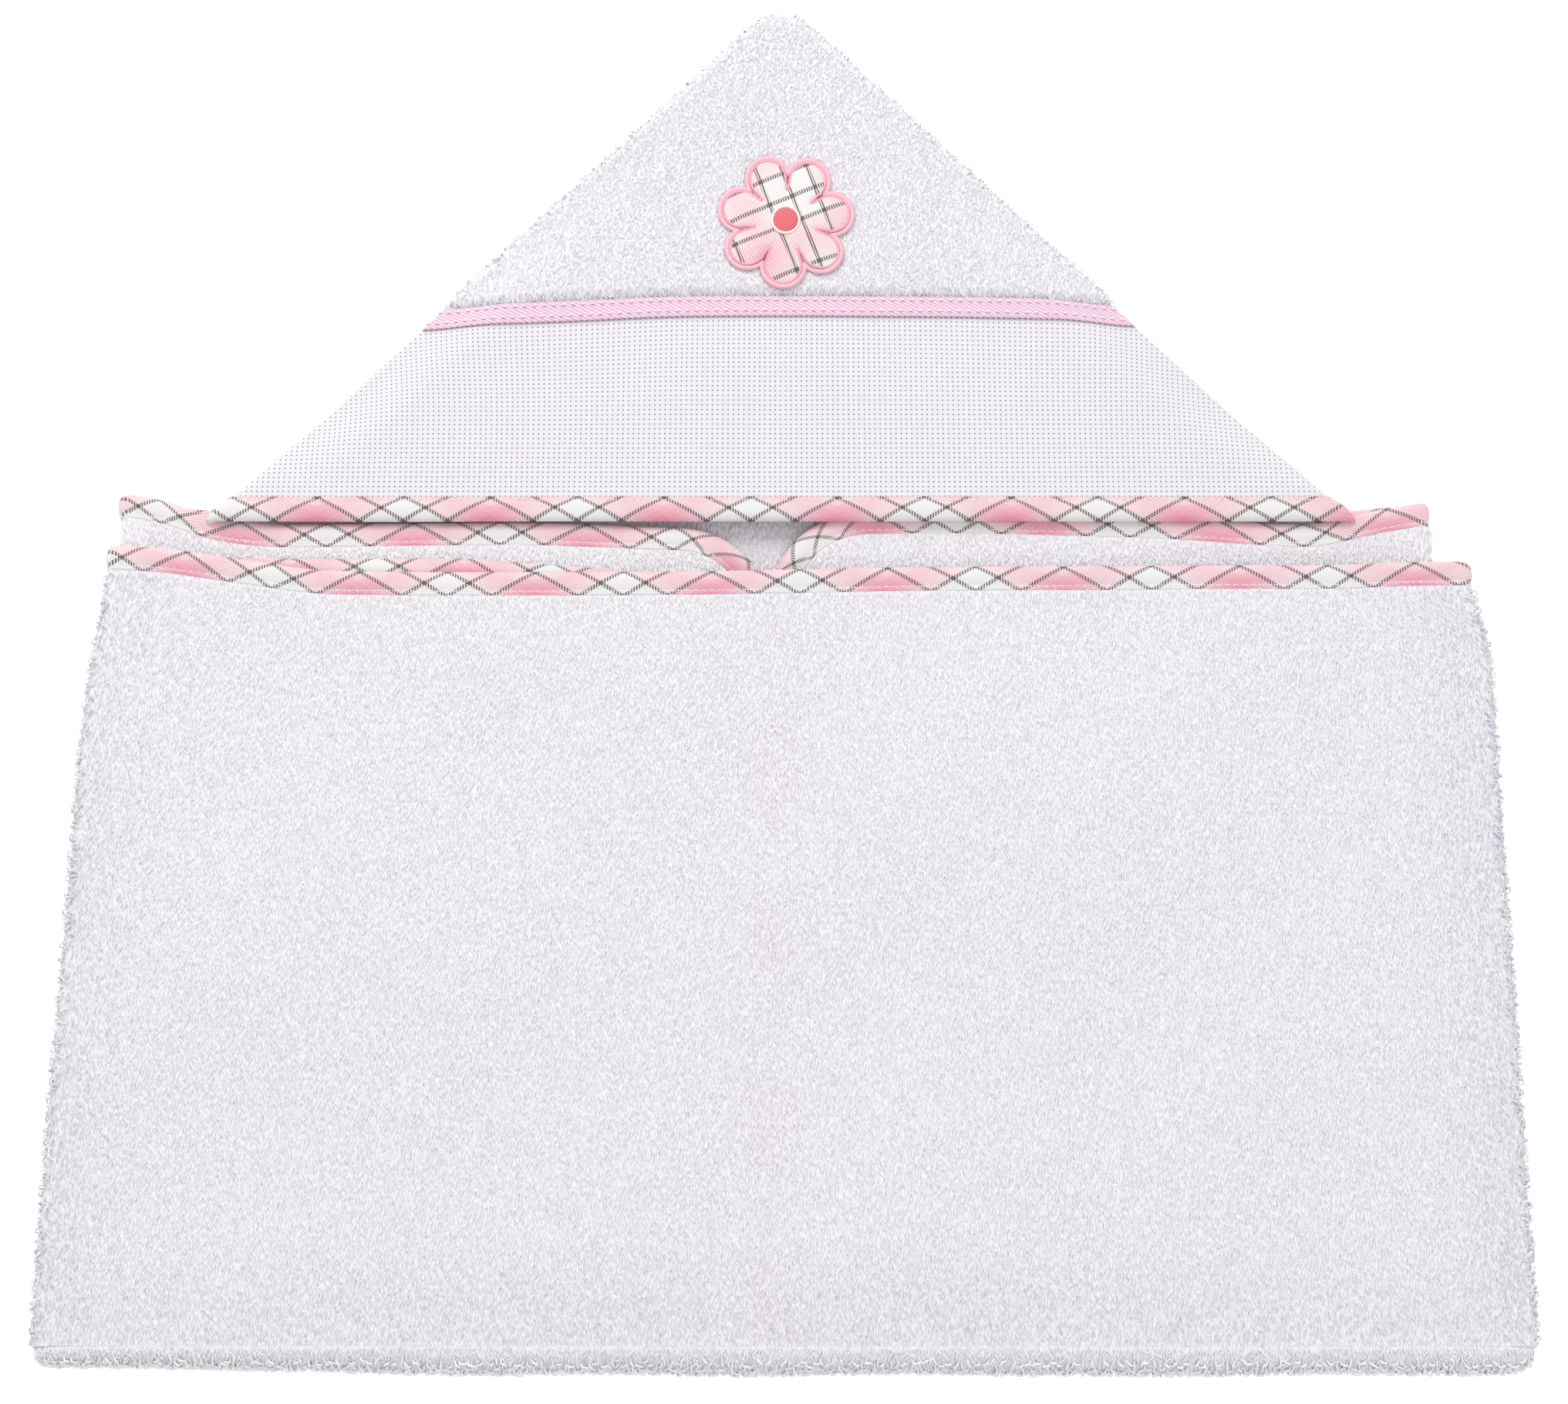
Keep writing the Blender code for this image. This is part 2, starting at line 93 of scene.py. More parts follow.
BASE = 0.0013  # half the thickness of the woven ground under the pile
FLAP_WIDTH = SIDE_X - MIDDLE_GAP
SIDE_ARC = math.pi * TURN
FLAT_WIDTH = 2 * (FLAP_WIDTH + SIDE_ARC + SIDE_X)
BACK_HEIGHT = NECK_Y - FOLD_Y
FRONT_HEIGHT = FRONT_Y - FOLD_Y
HOOD_ANGLE = math.radians(43.5)  # between a leg of the hood and the middle line
TIP_RADIUS = 0.007
SHARP_TIP_Y = TIP_Y + TIP_RADIUS * (1 / math.sin(HOOD_ANGLE) - 1)  # where the two legs would meet
print(f"cloth {FLAT_WIDTH:.3f} m wide, back half {BACK_HEIGHT:.3f} m, front half {FRONT_HEIGHT:.3f} m")

# %% [markdown]
# ## Camera
# The towel lies on a table and is seen from above its lower edge, from about a metre away.
# A long lens from high up keeps the sides nearly parallel. The camera is placed by its aim,
# its height angle and its distance, which is easier to read than a bare location.
# %% Camera
CAMERA_ANGLE = math.radians(70.3)
CAMERA_DISTANCE = 1.011
CAMERA_AIM = (0.0012, -0.0203, 0)
CAMERA_LENS = 68.65
SENSOR_WIDTH = 36

camera_data = bpy.data.cameras.new("camera")
camera_data.lens = CAMERA_LENS
camera_data.sensor_width = SENSOR_WIDTH
camera_data.clip_start = 0.01
camera = bpy.data.objects.new("camera", camera_data)
camera.location = (
    CAMERA_AIM[0],
    CAMERA_AIM[1] - CAMERA_DISTANCE * math.cos(CAMERA_ANGLE),
    CAMERA_DISTANCE * math.sin(CAMERA_ANGLE),
)
camera.rotation_euler = (math.pi / 2 - CAMERA_ANGLE, 0, 0)
bpy.context.scene.collection.objects.link(camera)
bpy.context.scene.camera = camera
print("camera at", [round(value, 3) for value in camera.location])

# %% [markdown]
# ## Writing materials as sums
# A material's pattern is arithmetic on coordinates. `Wire` wraps one output socket and turns
# `a * 2 + b` into Math nodes, and `Recipe.node` makes any other node, its settings first.
# %% Wires
class Wire:
    """An output socket that can be used in plain arithmetic."""

    def __init__(self, recipe, socket):
        self.recipe = recipe
        self.socket = socket

    def math(self, operation, *others):
        return self.recipe.node("Math", {"operation": operation}, [self, *others])

    def __add__(self, other):
        return self.math("ADD", other)

    def __sub__(self, other):
        return self.math("SUBTRACT", other)

    def __rsub__(self, other):
        return self.recipe.node("Math", {"operation": "SUBTRACT"}, [other, self])

    def __mul__(self, other):
        return self.math("MULTIPLY", other)

    __radd__ = __add__
    __rmul__ = __mul__


print("Wire adds Math nodes for + - and *")


# %% Recipes
class Recipe:
    """A material written down node by node, round one Principled shader."""

    def __init__(self, name, **finish):
        self.material = bpy.data.materials.new(name)
        self.material.use_nodes = True
        self.tree = self.material.node_tree
        self.shader = self.tree.nodes["Principled BSDF"]
        for socket, value in finish.items():
            self.shader.inputs[socket.replace("_", " ")].default_value = value

    def node(self, kind, settings=None, values=(), output=0):
        made = self.tree.nodes.new("ShaderNode" + kind)
        for key, value in (settings or {}).items():
            if key == "stops":
                self.set_stops(made.color_ramp, value)
            else:
                setattr(made, key, value)
        pairs = values.items() if isinstance(values, dict) else enumerate(values)
        for socket, value in pairs:
            self.plug(made.inputs[socket], value)
        return Wire(self, made.outputs[output])

    def set_stops(self, ramp, stops):
        while len(ramp.elements) < len(stops):
            ramp.elements.new(0.5)
        for element, (place, colour) in zip(ramp.elements, stops):
            element.position = place
            element.color = (*colour, 1) if isinstance(colour, tuple) else (colour, colour, colour, 1)

    def plug(self, socket, value):
        if isinstance(value, Wire):
            self.tree.links.new(value.socket, socket)
        elif isinstance(value, tuple) and len(value) == 3 and socket.type == "RGBA":
            socket.default_value = (*value, 1)
        else:
            socket.default_value = value

    def feed(self, socket, value):
        self.plug(self.shader.inputs[socket], value)
        return self

    def flat(self):
        """The cloth's own coordinates, kept on its points: three values."""
        vector = self.node("Attribute", {"attribute_name": "flat"}, output="Vector")
        split = self.node("SeparateXYZ", values=[vector]).socket.node
        return [Wire(self, socket) for socket in split.outputs]

    def vector(self, x, y):
        return self.node("CombineXYZ", values=[x, y, 0.0])

    def mix(self, share, first, second):
        """A colour between two others, share of the way. Mix keeps its colours in sockets 6 and 7."""
        return self.node("Mix", {"data_type": "RGBA"}, {0: share, 6: first, 7: second}, output=2)

    def ramp(self, value, *stops):
        return self.node("ValToRGB", {"stops": stops}, [value])

    def wave(self, value, pitch):
        """1 to 0 to 1 again, once every pitch."""
        turned = (value * (2 * math.pi / pitch)).math("COSINE")
        return turned * 0.5 + 0.5

    def step(self, value, low, high):
        """0 below low, 1 above high, soft between."""
        settings = {"interpolation_type": "SMOOTHSTEP"}
        return self.node("MapRange", settings, [value, low, high, 0.0, 1.0])

    def noise(self, scale, detail=2.0, vector=None):
        values = {"Scale": scale, "Detail": detail}
        values["Vector"] = vector or self.node("TexCoord", output="Object")
        return self.node("TexNoise", values=values, output="Fac")

    def bump(self, height, distance, strength=1.0):
        values = {"Height": height, "Distance": distance, "Strength": strength}
        return self.feed("Normal", self.node("Bump", values=values, output="Normal"))


print("Recipe makes a material from nodes")

# %% [markdown]
# ## Laying cloth
# Each cloth is described by one function that says where a point (u, v) of the flat cloth lies
# in space. A cloth with thickness, its binding, its stitches and its pile can then all be
# written in flat coordinates, as a sewer marks them, and they follow every fold together.
# Numpy makes thousands of points in one line, which bmesh loops can't do as quickly.
# %% Soft curves and directions
def smooth_step(value):
    """0 below 0, 1 above 1, and an even S between."""
    value = np.clip(value, 0, 1)
    return value * value * (3 - 2 * value)


def soft_line(softness, *knots):
    """A smooth curve through a few (place, height) pairs, as a function."""
    places, heights = np.array(knots, float).T
    fine = np.linspace(places[0], places[-1], 801)
    window = np.hanning(2 * int(softness / (fine[1] - fine[0])) + 3)
    padded = np.pad(np.interp(fine, places, heights), len(window) // 2, mode="edge")
    smooth = np.convolve(padded, window / window.sum(), mode="valid")
    return lambda at: np.interp(at, fine, smooth)


def ripple(x, y, size, seed):
    """Soft uneven bumps about this size, between -1 and 1."""
    random = np.random.default_rng(seed)
    total = np.zeros(np.broadcast(x, y).shape)
    for _ in range(7):
        angle, phase = random.uniform(0, 2 * math.pi, 2)
        pace = 2 * math.pi / (size * random.uniform(0.7, 1.8))
        total += np.sin((x * math.cos(angle) + y * math.sin(angle)) * pace + phase)
    return total / 4


def unit(vectors):
    return vectors / np.maximum(np.linalg.norm(vectors, axis=-1, keepdims=True), 1e-12)


def directions(lay, u, v):
    """Across, along and outward directions of a laid cloth at these flat places."""
    step = 5e-5
    across = unit(lay(u + step, v) - lay(u - step, v))
    along = unit(lay(u, v + step) - lay(u, v - step))
    return across, along, unit(np.cross(across, along))


print("laying helpers are ready")


# %% [markdown]
# ## Meshes from arrays
# A cloth's mesh is its laid grid, moved half its thickness out and half in, with a rim that joins
# the two faces. So every cloth is a closed body with round edges. Each point also keeps its
# flat coordinates, which the materials read, so a weave follows the cloth round its folds.
# %% Meshes from arrays
def mesh_object(name, points, faces, materials, coordinates=None, slots=None):
    """A smooth mesh piece from arrays, with the cloth's own coordinates on its points."""
    mesh = bpy.data.meshes.new(name)
    sides = faces.shape[1]
    mesh.vertices.add(len(points))
    mesh.vertices.foreach_set("co", np.ascontiguousarray(points, np.float32).ravel())
    mesh.loops.add(faces.size)
    mesh.loops.foreach_set("vertex_index", np.ascontiguousarray(faces, np.int32).ravel())
    mesh.polygons.add(len(faces))
    mesh.polygons.foreach_set("loop_start", np.arange(0, faces.size, sides, dtype=np.int32))
    if coordinates is not None:
        layer = mesh.attributes.new("flat", "FLOAT_VECTOR", "POINT")
        layer.data.foreach_set("vector", np.ascontiguousarray(coordinates, np.float32).ravel())
    for material in materials:
        mesh.materials.append(material)
    if slots is not None:
        mesh.polygons.foreach_set("material_index", np.ascontiguousarray(slots, np.int32))
    mesh.update(calc_edges=True)
    mesh.validate()
    mesh.shade_smooth()
    piece = bpy.data.objects.new(name, mesh)
    bpy.context.scene.collection.objects.link(piece)
    return piece


print("mesh_object makes smooth pieces from arrays")


# %% Closed sheets
def lattice_faces(rows, columns, close=False):
    """Quads of a rows by columns lattice of points. With close, each row is a closed ring."""
    index = np.arange(rows * columns).reshape(rows, columns)
    following = np.roll(index, -1, axis=1)
    if not close:
        index, following = index[:, :-1], following[:, :-1]
    return np.stack([index[:-1], following[:-1], following[1:], index[1:]], -1).reshape(-1, 4)


def outward(points, faces):
    """The same faces, turned so that they point out of the closed body."""
    a, b, c, d = (points[faces[:, k]] for k in range(4))
    volume = np.einsum("ij,ij->i", a, np.cross(b, c) + np.cross(c, d)).sum()
    return faces if volume > 0 else faces[:, ::-1]


def shell(name, middle, normal, half, faces, material, coordinates):
    """A closed sheet: both faces of the cloth, and its rim."""
    count = len(middle)
    points = np.concatenate([middle + normal * half, middle - normal * half])
    edges = np.concatenate([faces[:, [k, (k + 1) % 4]] for k in range(4)])
    code = np.sort(edges, axis=1) @ [count, 1]
    _, first, times = np.unique(code, return_index=True, return_counts=True)
    rim = edges[first[times == 1]]
    rim_faces = np.stack([rim[:, 1], rim[:, 0], rim[:, 0] + count, rim[:, 1] + count], -1)
    every = np.concatenate([faces, faces[:, ::-1] + count, rim_faces])
    doubled = np.concatenate([coordinates, coordinates])
    return mesh_object(name, points, outward(points, every), [material], doubled)


def laid_sheet(name, lay, grid_u, grid_v, half, material, stretch=1.0):
    """A closed sheet over a grid of flat places. stretch turns grid_v into metres along the cloth."""
    middle = lay(grid_u, grid_v).reshape(-1, 3)
    normal = directions(lay, grid_u, grid_v)[2].reshape(-1, 3)
    flat = np.stack([grid_u, grid_v * stretch, grid_u * 0], -1).reshape(-1, 3)
    thick = np.broadcast_to(half, grid_u.shape).reshape(-1, 1)
    return shell(name, middle, normal, thick, lattice_faces(*grid_u.shape), material, flat)


print("a sheet is two faces and a rim")


# %% Round edges and dressing
def near_ends(start, end, step, edge_rounds=(0, 0.0003, 0.0009, 0.002)):
    """Places from start to end about step apart, closer together at both ends."""
    count = max(int(round((end - start - 2 * edge_rounds[-1]) / step)), 1)
    inner = np.linspace(start + edge_rounds[-1], end - edge_rounds[-1], count + 1)
    rounds = np.array(edge_rounds[:-1])
    return np.concatenate([start + rounds, inner, end - rounds[::-1]])


def rim_round(distance, half):
    """Half the thickness near a free edge, so that the edge is round and not square."""
    inside = np.clip(distance / (1.6 * half), 0, 1)
    return half * np.sqrt(1 - (1 - inside) ** 2 * 0.97)


def dress(piece, slot, *nodes, body=None):
    """Hides the CAD nodes that a piece stands for and hangs the piece on the body it rides on. slot is not
    used.
    """
    if body:
        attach(piece, body)
    if nodes:
        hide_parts(*nodes)


print("cloth helpers are ready")

# %% [markdown]
# ## White terry
# Terry is a woven ground with loops of yarn standing out of it on both sides. The loops are modelled one
# by one further down; the ground under them only needs a matching white, a little unevenness where loops
# have been pressed, painted shade in the low places between its grains, and a fine stretched bump that
# reads as more loops between the modelled ones. Cellular noise stretched along the cloth gives such
# grains.
# %% Terry materials
SHEEN = {"Sheen_Weight": 0.25, "Sheen_Roughness": 0.6}


def terry_ground():
    recipe = Recipe("white terry ground", Roughness=0.95, Specular_IOR_Level=0.15, **SHEEN)
    across, along, _ = recipe.flat()
    grain = recipe.vector(across * 1100, along * 420)
    cells = recipe.node("TexVoronoi", {"feature": "F1"}, {"Vector": grain, "Scale": 1.0}, "Distance")
    clumps = recipe.noise(1.0, 3.0, recipe.vector(across * 260, along * 190))
    # Painted shade: the ground's colour darkens away from each grain's middle, where the bump is low,
    # mixed with random lighter and darker clumps.
    crevice_shade_and_tone = recipe.step(cells, 0.0, 0.75) * 0.5 + clumps * 0.5
    colour = recipe.mix(crevice_shade_and_tone, (0.95, 0.94, 0.96), (0.86, 0.84, 0.88))
    recipe.feed("Base Color", colour)
    recipe.feed("Roughness", clumps * 0.1 + 0.88)
    recipe.bump(1 - cells, 0.0012, 0.8)
    return recipe.material


def terry_yarn(name, colour):
    """Yarn in a loop: the same all over, so that many thousand loops stay light."""
    finish = {"Roughness": 0.9, "Specular_IOR_Level": 0.2, **SHEEN}
    return Recipe(name, Base_Color=(*colour, 1), **finish).material


TERRY_GROUND = terry_ground()
YARNS = [
    terry_yarn("terry yarn bright", (0.97, 0.965, 0.975)),
    terry_yarn("terry yarn even", (0.96, 0.95, 0.965)),
    terry_yarn("terry yarn shaded", (0.94, 0.925, 0.95)),
    terry_yarn("terry yarn over pink", (0.96, 0.88, 0.92)),
    # The yarn at the folds is painted shade: a darker, greyer white for loops where the cloth turns down
    # at a fold.
    terry_yarn("terry yarn painted with fold shade", (0.85, 0.82, 0.87)),
    terry_yarn("hood terry yarn", (0.905, 0.875, 0.91)),
]
OVER_PINK, PAINTED_FOLD_SHADE, ON_HOOD = 3, 4, 5  # places of the three tinted yarns in that list
print("terry materials:", TERRY_GROUND.name, [yarn.name for yarn in YARNS])

# %% [markdown]
# ## Loops of pile
# One loop is a short bent tube: up out of the ground, along it, and back in, like a grain of
# rice. All loops of a patch are made in one array. Each has four rings of three points, which is
# round enough with smooth shading, and gets its own length, height, turn and yarn.
# %% Pile
LOOPS_A_PIECE = 10800
LOOP_RINGS, LOOP_SIDES = 4, 3
FOOT = 0.0004  # how deep a loop's feet go into the ground
PLAIN_YARNS = [0, 0, 1, 1, 1, 2]  # the untinted yarns, in the shares that they are drawn in


def pile_places(width, height, gap, seed, keep):
    """Jittered places over a flat cloth, about gap apart, where keep says so."""
    random = np.random.default_rng(seed)
    u, v = np.meshgrid(np.arange(width[0], width[1], gap), np.arange(height[0], height[1], gap * 1.1))
    u = (u + (np.arange(len(u)) % 2)[:, None] * gap / 2).ravel()
    v = v.ravel()
    u = u + random.uniform(-0.42, 0.42, u.size) * gap
    v = v + random.uniform(-0.42, 0.42, v.size) * gap
    inside = keep(u, v) & (u > width[0]) & (u < width[1]) & (v > height[0]) & (v < height[1])
    return u[inside], v[inside]


def loop_points(place, across, along, out, random, size, wander, lift):
    """Rings of every loop: (loops, rings, sides, xyz)."""
    count = len(place)
    turn = random.normal(0, wander, count)[:, None]
    run = across * np.sin(turn) + along * np.cos(turn)
    side = np.cross(out, run)
    length = size * random.uniform(0.75, 1.3, count)[:, None]
    height = lift * random.uniform(0.8, 1.2, count)[:, None]
    lean = side * random.normal(0, 0.14, count)[:, None] * size
    path = np.stack(
        [
            place - run * length * 0.5 - out * FOOT,
            place - run * length * 0.27 + out * height + lean * 0.6,
            place + run * length * 0.27 + out * height * 1.05 + lean,
            place + run * length * 0.5 - out * FOOT,
        ],
        1,
    )
    radius = size * 0.17 * random.uniform(0.85, 1.2, count)
    low, high = out * 0.6, out
    rise = unit(np.stack([low - run * 0.8, high - run * 0.5, high + run * 0.5, low + run * 0.8], 1))
    rings = []
    for corner in range(LOOP_SIDES):
        angle = 2 * math.pi * corner / LOOP_SIDES
        spread = rise * math.cos(angle) + side[:, None] * math.sin(angle)
        rings.append(path + spread * radius[:, None, None])
    return np.stack(rings, 2)


def make_pile(name, lay, places, seed, size=0.0018, wander=0.2, lift=0.00035, sign=1, tints=()):
    """Loops at the given places of a laid cloth, as a list of pieces. sign is -1 on its other face."""
    u, v = places
    order = np.argsort(u, kind="stable")
    u, v = u[order], v[order]
    random = np.random.default_rng(seed)
    across, along, out = directions(lay, u, v)
    out = out * sign
    place = lay(u, v) + out * (BASE - 0.0001)
    rings = loop_points(place, across, along, out, random, size, wander, lift)
    shade = random.choice(PLAIN_YARNS, len(u))
    for yarn, share in tints:
        shade = np.where(random.random(len(u)) < share(u, v), yarn, shade)
    one = lattice_faces(LOOP_RINGS, LOOP_SIDES, close=True)
    pieces = []
    for start in range(0, len(u), LOOPS_A_PIECE):
        batch = rings[start : start + LOOPS_A_PIECE]
        first = np.arange(len(batch))[:, None, None] * (LOOP_RINGS * LOOP_SIDES)
        faces = (first + one[None]).reshape(-1, 4)
        slots = np.repeat(shade[start : start + LOOPS_A_PIECE], len(one))
        label = f"{name}_{len(pieces) + 1}"
        pieces.append(mesh_object(label, batch.reshape(-1, 3), faces, YARNS, slots=slots))
    print(f"{name}: {len(u)} loops in {len(pieces)} pieces")
    return pieces


print("loops have", LOOP_RINGS, "rings of", LOOP_SIDES, "points")

# %% [markdown]
# ## How the folded cloth lies
# A folded towel isn't a stack of rectangles. Its side folds are a little skewed, so the edges
# climb towards the side folds, the upper corners draw in, and the surface has slow, shallow
# hills. These small moves are functions of place, applied to each layer after it is folded.
# Each edge line below lists a few places across and how far the edge has climbed there.
# %% The back half
EDGE_SOFT = 0.014
FLAP_SOFT = 0.016
back_edge = soft_line(EDGE_SOFT, (-0.24, 0.006), (-0.215, 0.003), (-0.19, 0), (0.19, 0), (0.24, 0.0045))
left_flap_edge = soft_line(
    FLAP_SOFT, (-0.24, 0.0065), (-0.225, 0.0055), (-0.2, -0.0035), (-0.18, -0.0056),
    (-0.09, -0.0044), (-0.03, -0.0068), (0, -0.0068),
)
right_flap_edge = soft_line(
    FLAP_SOFT, (0, -0.001), (0.06, 0), (0.127, -0.002), (0.16, -0.0045),
    (0.19, -0.0058), (0.215, -0.0005), (0.24, 0.004),
)


def settle(x, y, z):
    """Slow hills and drawn-in corners, the same for all layers so that they don't cross."""
    up = np.clip((y - FOLD_Y) / FRONT_HEIGHT, 0, 1.2)
    x = x + 0.003 * smooth_step(up)
    pull = np.exp(-((up - 1) / 0.12) ** 2) * smooth_step((-x - 0.15) / 0.08)
    x = x + 0.004 * pull
    x = x + 0.0025 * smooth_step((-x - 0.1) / 0.13) * (1 - smooth_step(up))
    near_fold = 1 - smooth_step((y - FOLD_Y + 0.004) / 0.036)
    near_side = smooth_step((np.abs(x) - SIDE_X + 0.026) / 0.034)
    drop = 0.0034 * near_fold + 0.0034 * near_side * (1 - 0.5 * near_fold)
    z = z - drop * (z / (2 * FOLD_Z)) ** 2
    hills = ripple(x, y, 0.1, 5) * 0.0011 * (z / (2 * FOLD_Z))
    return np.stack([x, y, z + hills], -1)


def from_free_edge(u):
    """Distance across the flat cloth from the nearer of its two free side edges."""
    return FLAT_WIDTH / 2 - np.abs(u - FLAT_WIDTH / 2)


def across_layers(u, flap_z, panel_z):
    """Place across, height, and how much of a flap it is: flap, side fold, panel, fold, flap."""
    centre_z = (flap_z + panel_z) / 2
    reach = (flap_z - panel_z) / 2
    w = from_free_edge(u)
    side = np.where(u < FLAT_WIDTH / 2, -1.0, 1.0)
    bend = np.clip((w - FLAP_WIDTH) / TURN, 0, math.pi)
    x = np.where(w < FLAP_WIDTH, MIDDLE_GAP + w, SIDE_X + TURN * np.sin(bend))
    x = np.where(w > FLAP_WIDTH + SIDE_ARC, SIDE_X - (w - FLAP_WIDTH - SIDE_ARC), x)
    on_flap = smooth_step((FLAP_WIDTH + SIDE_ARC * 0.5 - w) / SIDE_ARC + 0.5)
    return side * x, centre_z + reach * np.cos(bend), on_flap


def lay_back(u, v):
    """The back half: upper flaps on top, the back panel below."""
    u, v = np.broadcast_arrays(np.asarray(u, float), np.asarray(v, float))
    x, z, on_flap = across_layers(u, UPPER_Z, BACK_Z)
    flap_edge = np.where(x < 0, left_flap_edge(x), right_flap_edge(x))
    climb = on_flap * flap_edge + (1 - on_flap) * back_edge(x)
    y = FOLD_Y + v + climb * smooth_step((v - BACK_HEIGHT + 0.1) / 0.1)
    upper = smooth_step((v - BACK_HEIGHT + 0.1) / 0.07)
    x = x - 0.0155 * upper * smooth_step((x - 0.13) / 0.1)
    x = x + 0.003 * upper * smooth_step((-x - 0.13) / 0.1)
    meeting = (1 - smooth_step(np.abs(x) / 0.13)) * smooth_step(v / BACK_HEIGHT * 1.4)
    x = x - on_flap * 0.0065 * meeting  # the flaps meet a little left of the middle
    return settle(x, y, z)


print(f"side folds turn round {SIDE_ARC:.4f} m of cloth")


# %% The back half's cloth
def flap_corner_top(u, height):
    """Top of the cloth at distance u across, with the flaps' rounded corners."""
    inside = np.clip(CORNER - from_free_edge(u), 0, CORNER)
    return height - CORNER + np.sqrt(np.maximum(CORNER**2 - inside**2, 0))


def folded_cloth(name, lay, height, inset=0.0009):
    """A half of the body cloth, with its side folds, as one closed sheet."""
    w = np.concatenate(
        [
            inset + CORNER * (1 - np.cos(np.linspace(0, math.pi / 2, 15))),
            np.linspace(CORNER + 0.006, FLAP_WIDTH - 0.003, 60),
            FLAP_WIDTH + np.linspace(-0.0015, SIDE_ARC + 0.0015, 17),
            np.linspace(FLAP_WIDTH + SIDE_ARC + 0.004, FLAT_WIDTH / 2, 70),
        ]
    )
    u = np.concatenate([w, (FLAT_WIDTH - w)[::-1][1:]])
    rows = near_ends(0, 1, 0.016, (0, 0.0012, 0.0035, 0.007))
    top = flap_corner_top(u, height) - inset
    grid_u = np.repeat(u[None], len(rows), 0)
    grid_v = CLEAR + rows[:, None] * (top[None] - CLEAR)
    from_edge = np.minimum(np.minimum(top[None] - grid_v, grid_u - inset), FLAT_WIDTH - inset - grid_u)
    return laid_sheet(name, lay, grid_u, grid_v, rim_round(from_edge, BASE), TERRY_GROUND)


back_cloth = folded_cloth("back_half_cloth", lay_back, BACK_HEIGHT)
dress(back_cloth, "white_terry", "back_panel", "upper_flap_left", "upper_flap_right", body="folded_back")
print("back half:", len(back_cloth.data.polygons), "faces")

# %% [markdown]
# ## The front half
# The front half is the same cloth folded in the same way, but upside down: its panel is on top
# and its flaps lie inside, on the flaps of the back half. Its own edge lines make it differ.
# %% The front half
front_edge = soft_line(
    EDGE_SOFT,
    (-0.24, 0.0105), (-0.215, 0.008), (-0.18, 0.003), (-0.16, 0), (-0.12, -0.0007),
    (-0.03, -0.0007), (0.03, 0.0013), (0.12, 0.0018), (0.18, 0.0015), (0.21, 0.003), (0.24, 0.0045),
)
lower_left_edge = soft_line(
    EDGE_SOFT, (-0.24, 0.0105), (-0.2, 0.0065), (-0.17, 0.006), (-0.11, 0.0062),
    (-0.06, 0.002), (-0.03, -0.002), (0, -0.003),
)
lower_right_edge = soft_line(EDGE_SOFT, (0, -0.003), (0.15, -0.002), (0.21, 0.002), (0.24, 0.0045))


def lay_front(u, v):
    """The front half: the front panel on top, the lower flaps below."""
    u, v = np.broadcast_arrays(np.asarray(u, float), np.asarray(v, float))
    x, z, on_flap = across_layers(u, LOWER_Z, FRONT_Z)
    flap_edge = np.where(x < 0, lower_left_edge(x), lower_right_edge(x))
    climb = on_flap * flap_edge + (1 - on_flap) * front_edge(x)
    y = FOLD_Y + v + climb * smooth_step((v - FRONT_HEIGHT + 0.09) / 0.09)
    x = x - 0.0045 * smooth_step((v - FRONT_HEIGHT + 0.035) / 0.03) * smooth_step((x - 0.16) / 0.07)
    return settle(x, y, z)


front_cloth = folded_cloth("front_half_cloth", lay_front, FRONT_HEIGHT)
dress(front_cloth, "white_terry", "front_panel", "lower_flap_left", "lower_flap_right", body="front_half")
print("front half:", len(front_cloth.data.polygons), "faces")

# %% [markdown]
# ## The bottom fold
# Here the body cloth turns from the back half to the front half. It is a half pipe whose ends close round
# the side folds. It has to bend when the front half is laid open.
# %% Bottom fold and inner turns
FOLD_REACH = FRONT_Z - FOLD_Z  # from the hinge to the cloth's middle
FOLD_LENGTH = math.pi * FOLD_REACH  # round the fold, along the cloth
FOLD_END_X = SIDE_X + TURN
END_ROUND = 0.011


def lay_bottom(x, a):
    """The bottom fold at place x across and angle a round it, from the back half to the front."""
    x, a = np.broadcast_arrays(np.asarray(x, float), np.asarray(a, float))
    past = np.maximum(-a, 0) + np.maximum(a - math.pi, 0)  # where it runs on, flat, to meet the layers
    a = np.clip(a, 0, math.pi)
    inside = np.clip((np.abs(x) - FOLD_END_X + END_ROUND) / END_ROUND, 0, 1)
    bulge = np.sqrt(np.maximum(1 - inside**2, 0.02))
    drawn = 0.0021 + 0.002625 * smooth_step((-x - 0.1) / 0.13)  # flatter than a half circle
    nose = (FOLD_REACH - drawn) * bulge
    y = FOLD_Y + past * FOLD_REACH - nose * np.sin(a) + ripple(x, a * 0.01, 0.09, 9) * 0.0006 * np.sin(a)
    z = FOLD_Z - FOLD_REACH * np.cos(a) * (0.35 + 0.65 * np.sqrt(bulge))
    return settle(x, y, z)


bottom_x = near_ends(-FOLD_END_X, FOLD_END_X, 0.004, (0, 0.0008, 0.0022, 0.0045))
meet = (CLEAR + 0.0003) / FOLD_REACH
bottom_a = np.concatenate([[-meet], np.linspace(0, math.pi, 25), [math.pi + meet]])
grid_x, grid_a = np.meshgrid(bottom_x, bottom_a)
bottom_cloth = laid_sheet("bottom_fold_cloth", lay_bottom, grid_x, grid_a, BASE, TERRY_GROUND, FOLD_REACH)
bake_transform(bottom_cloth)
dress(bottom_cloth, "white_terry", "bottom_fold")

LAP = 0.0022  # how far an inner turn runs on into the layers that it joins
TURN_LENGTH = SIDE_ARC + 2 * LAP


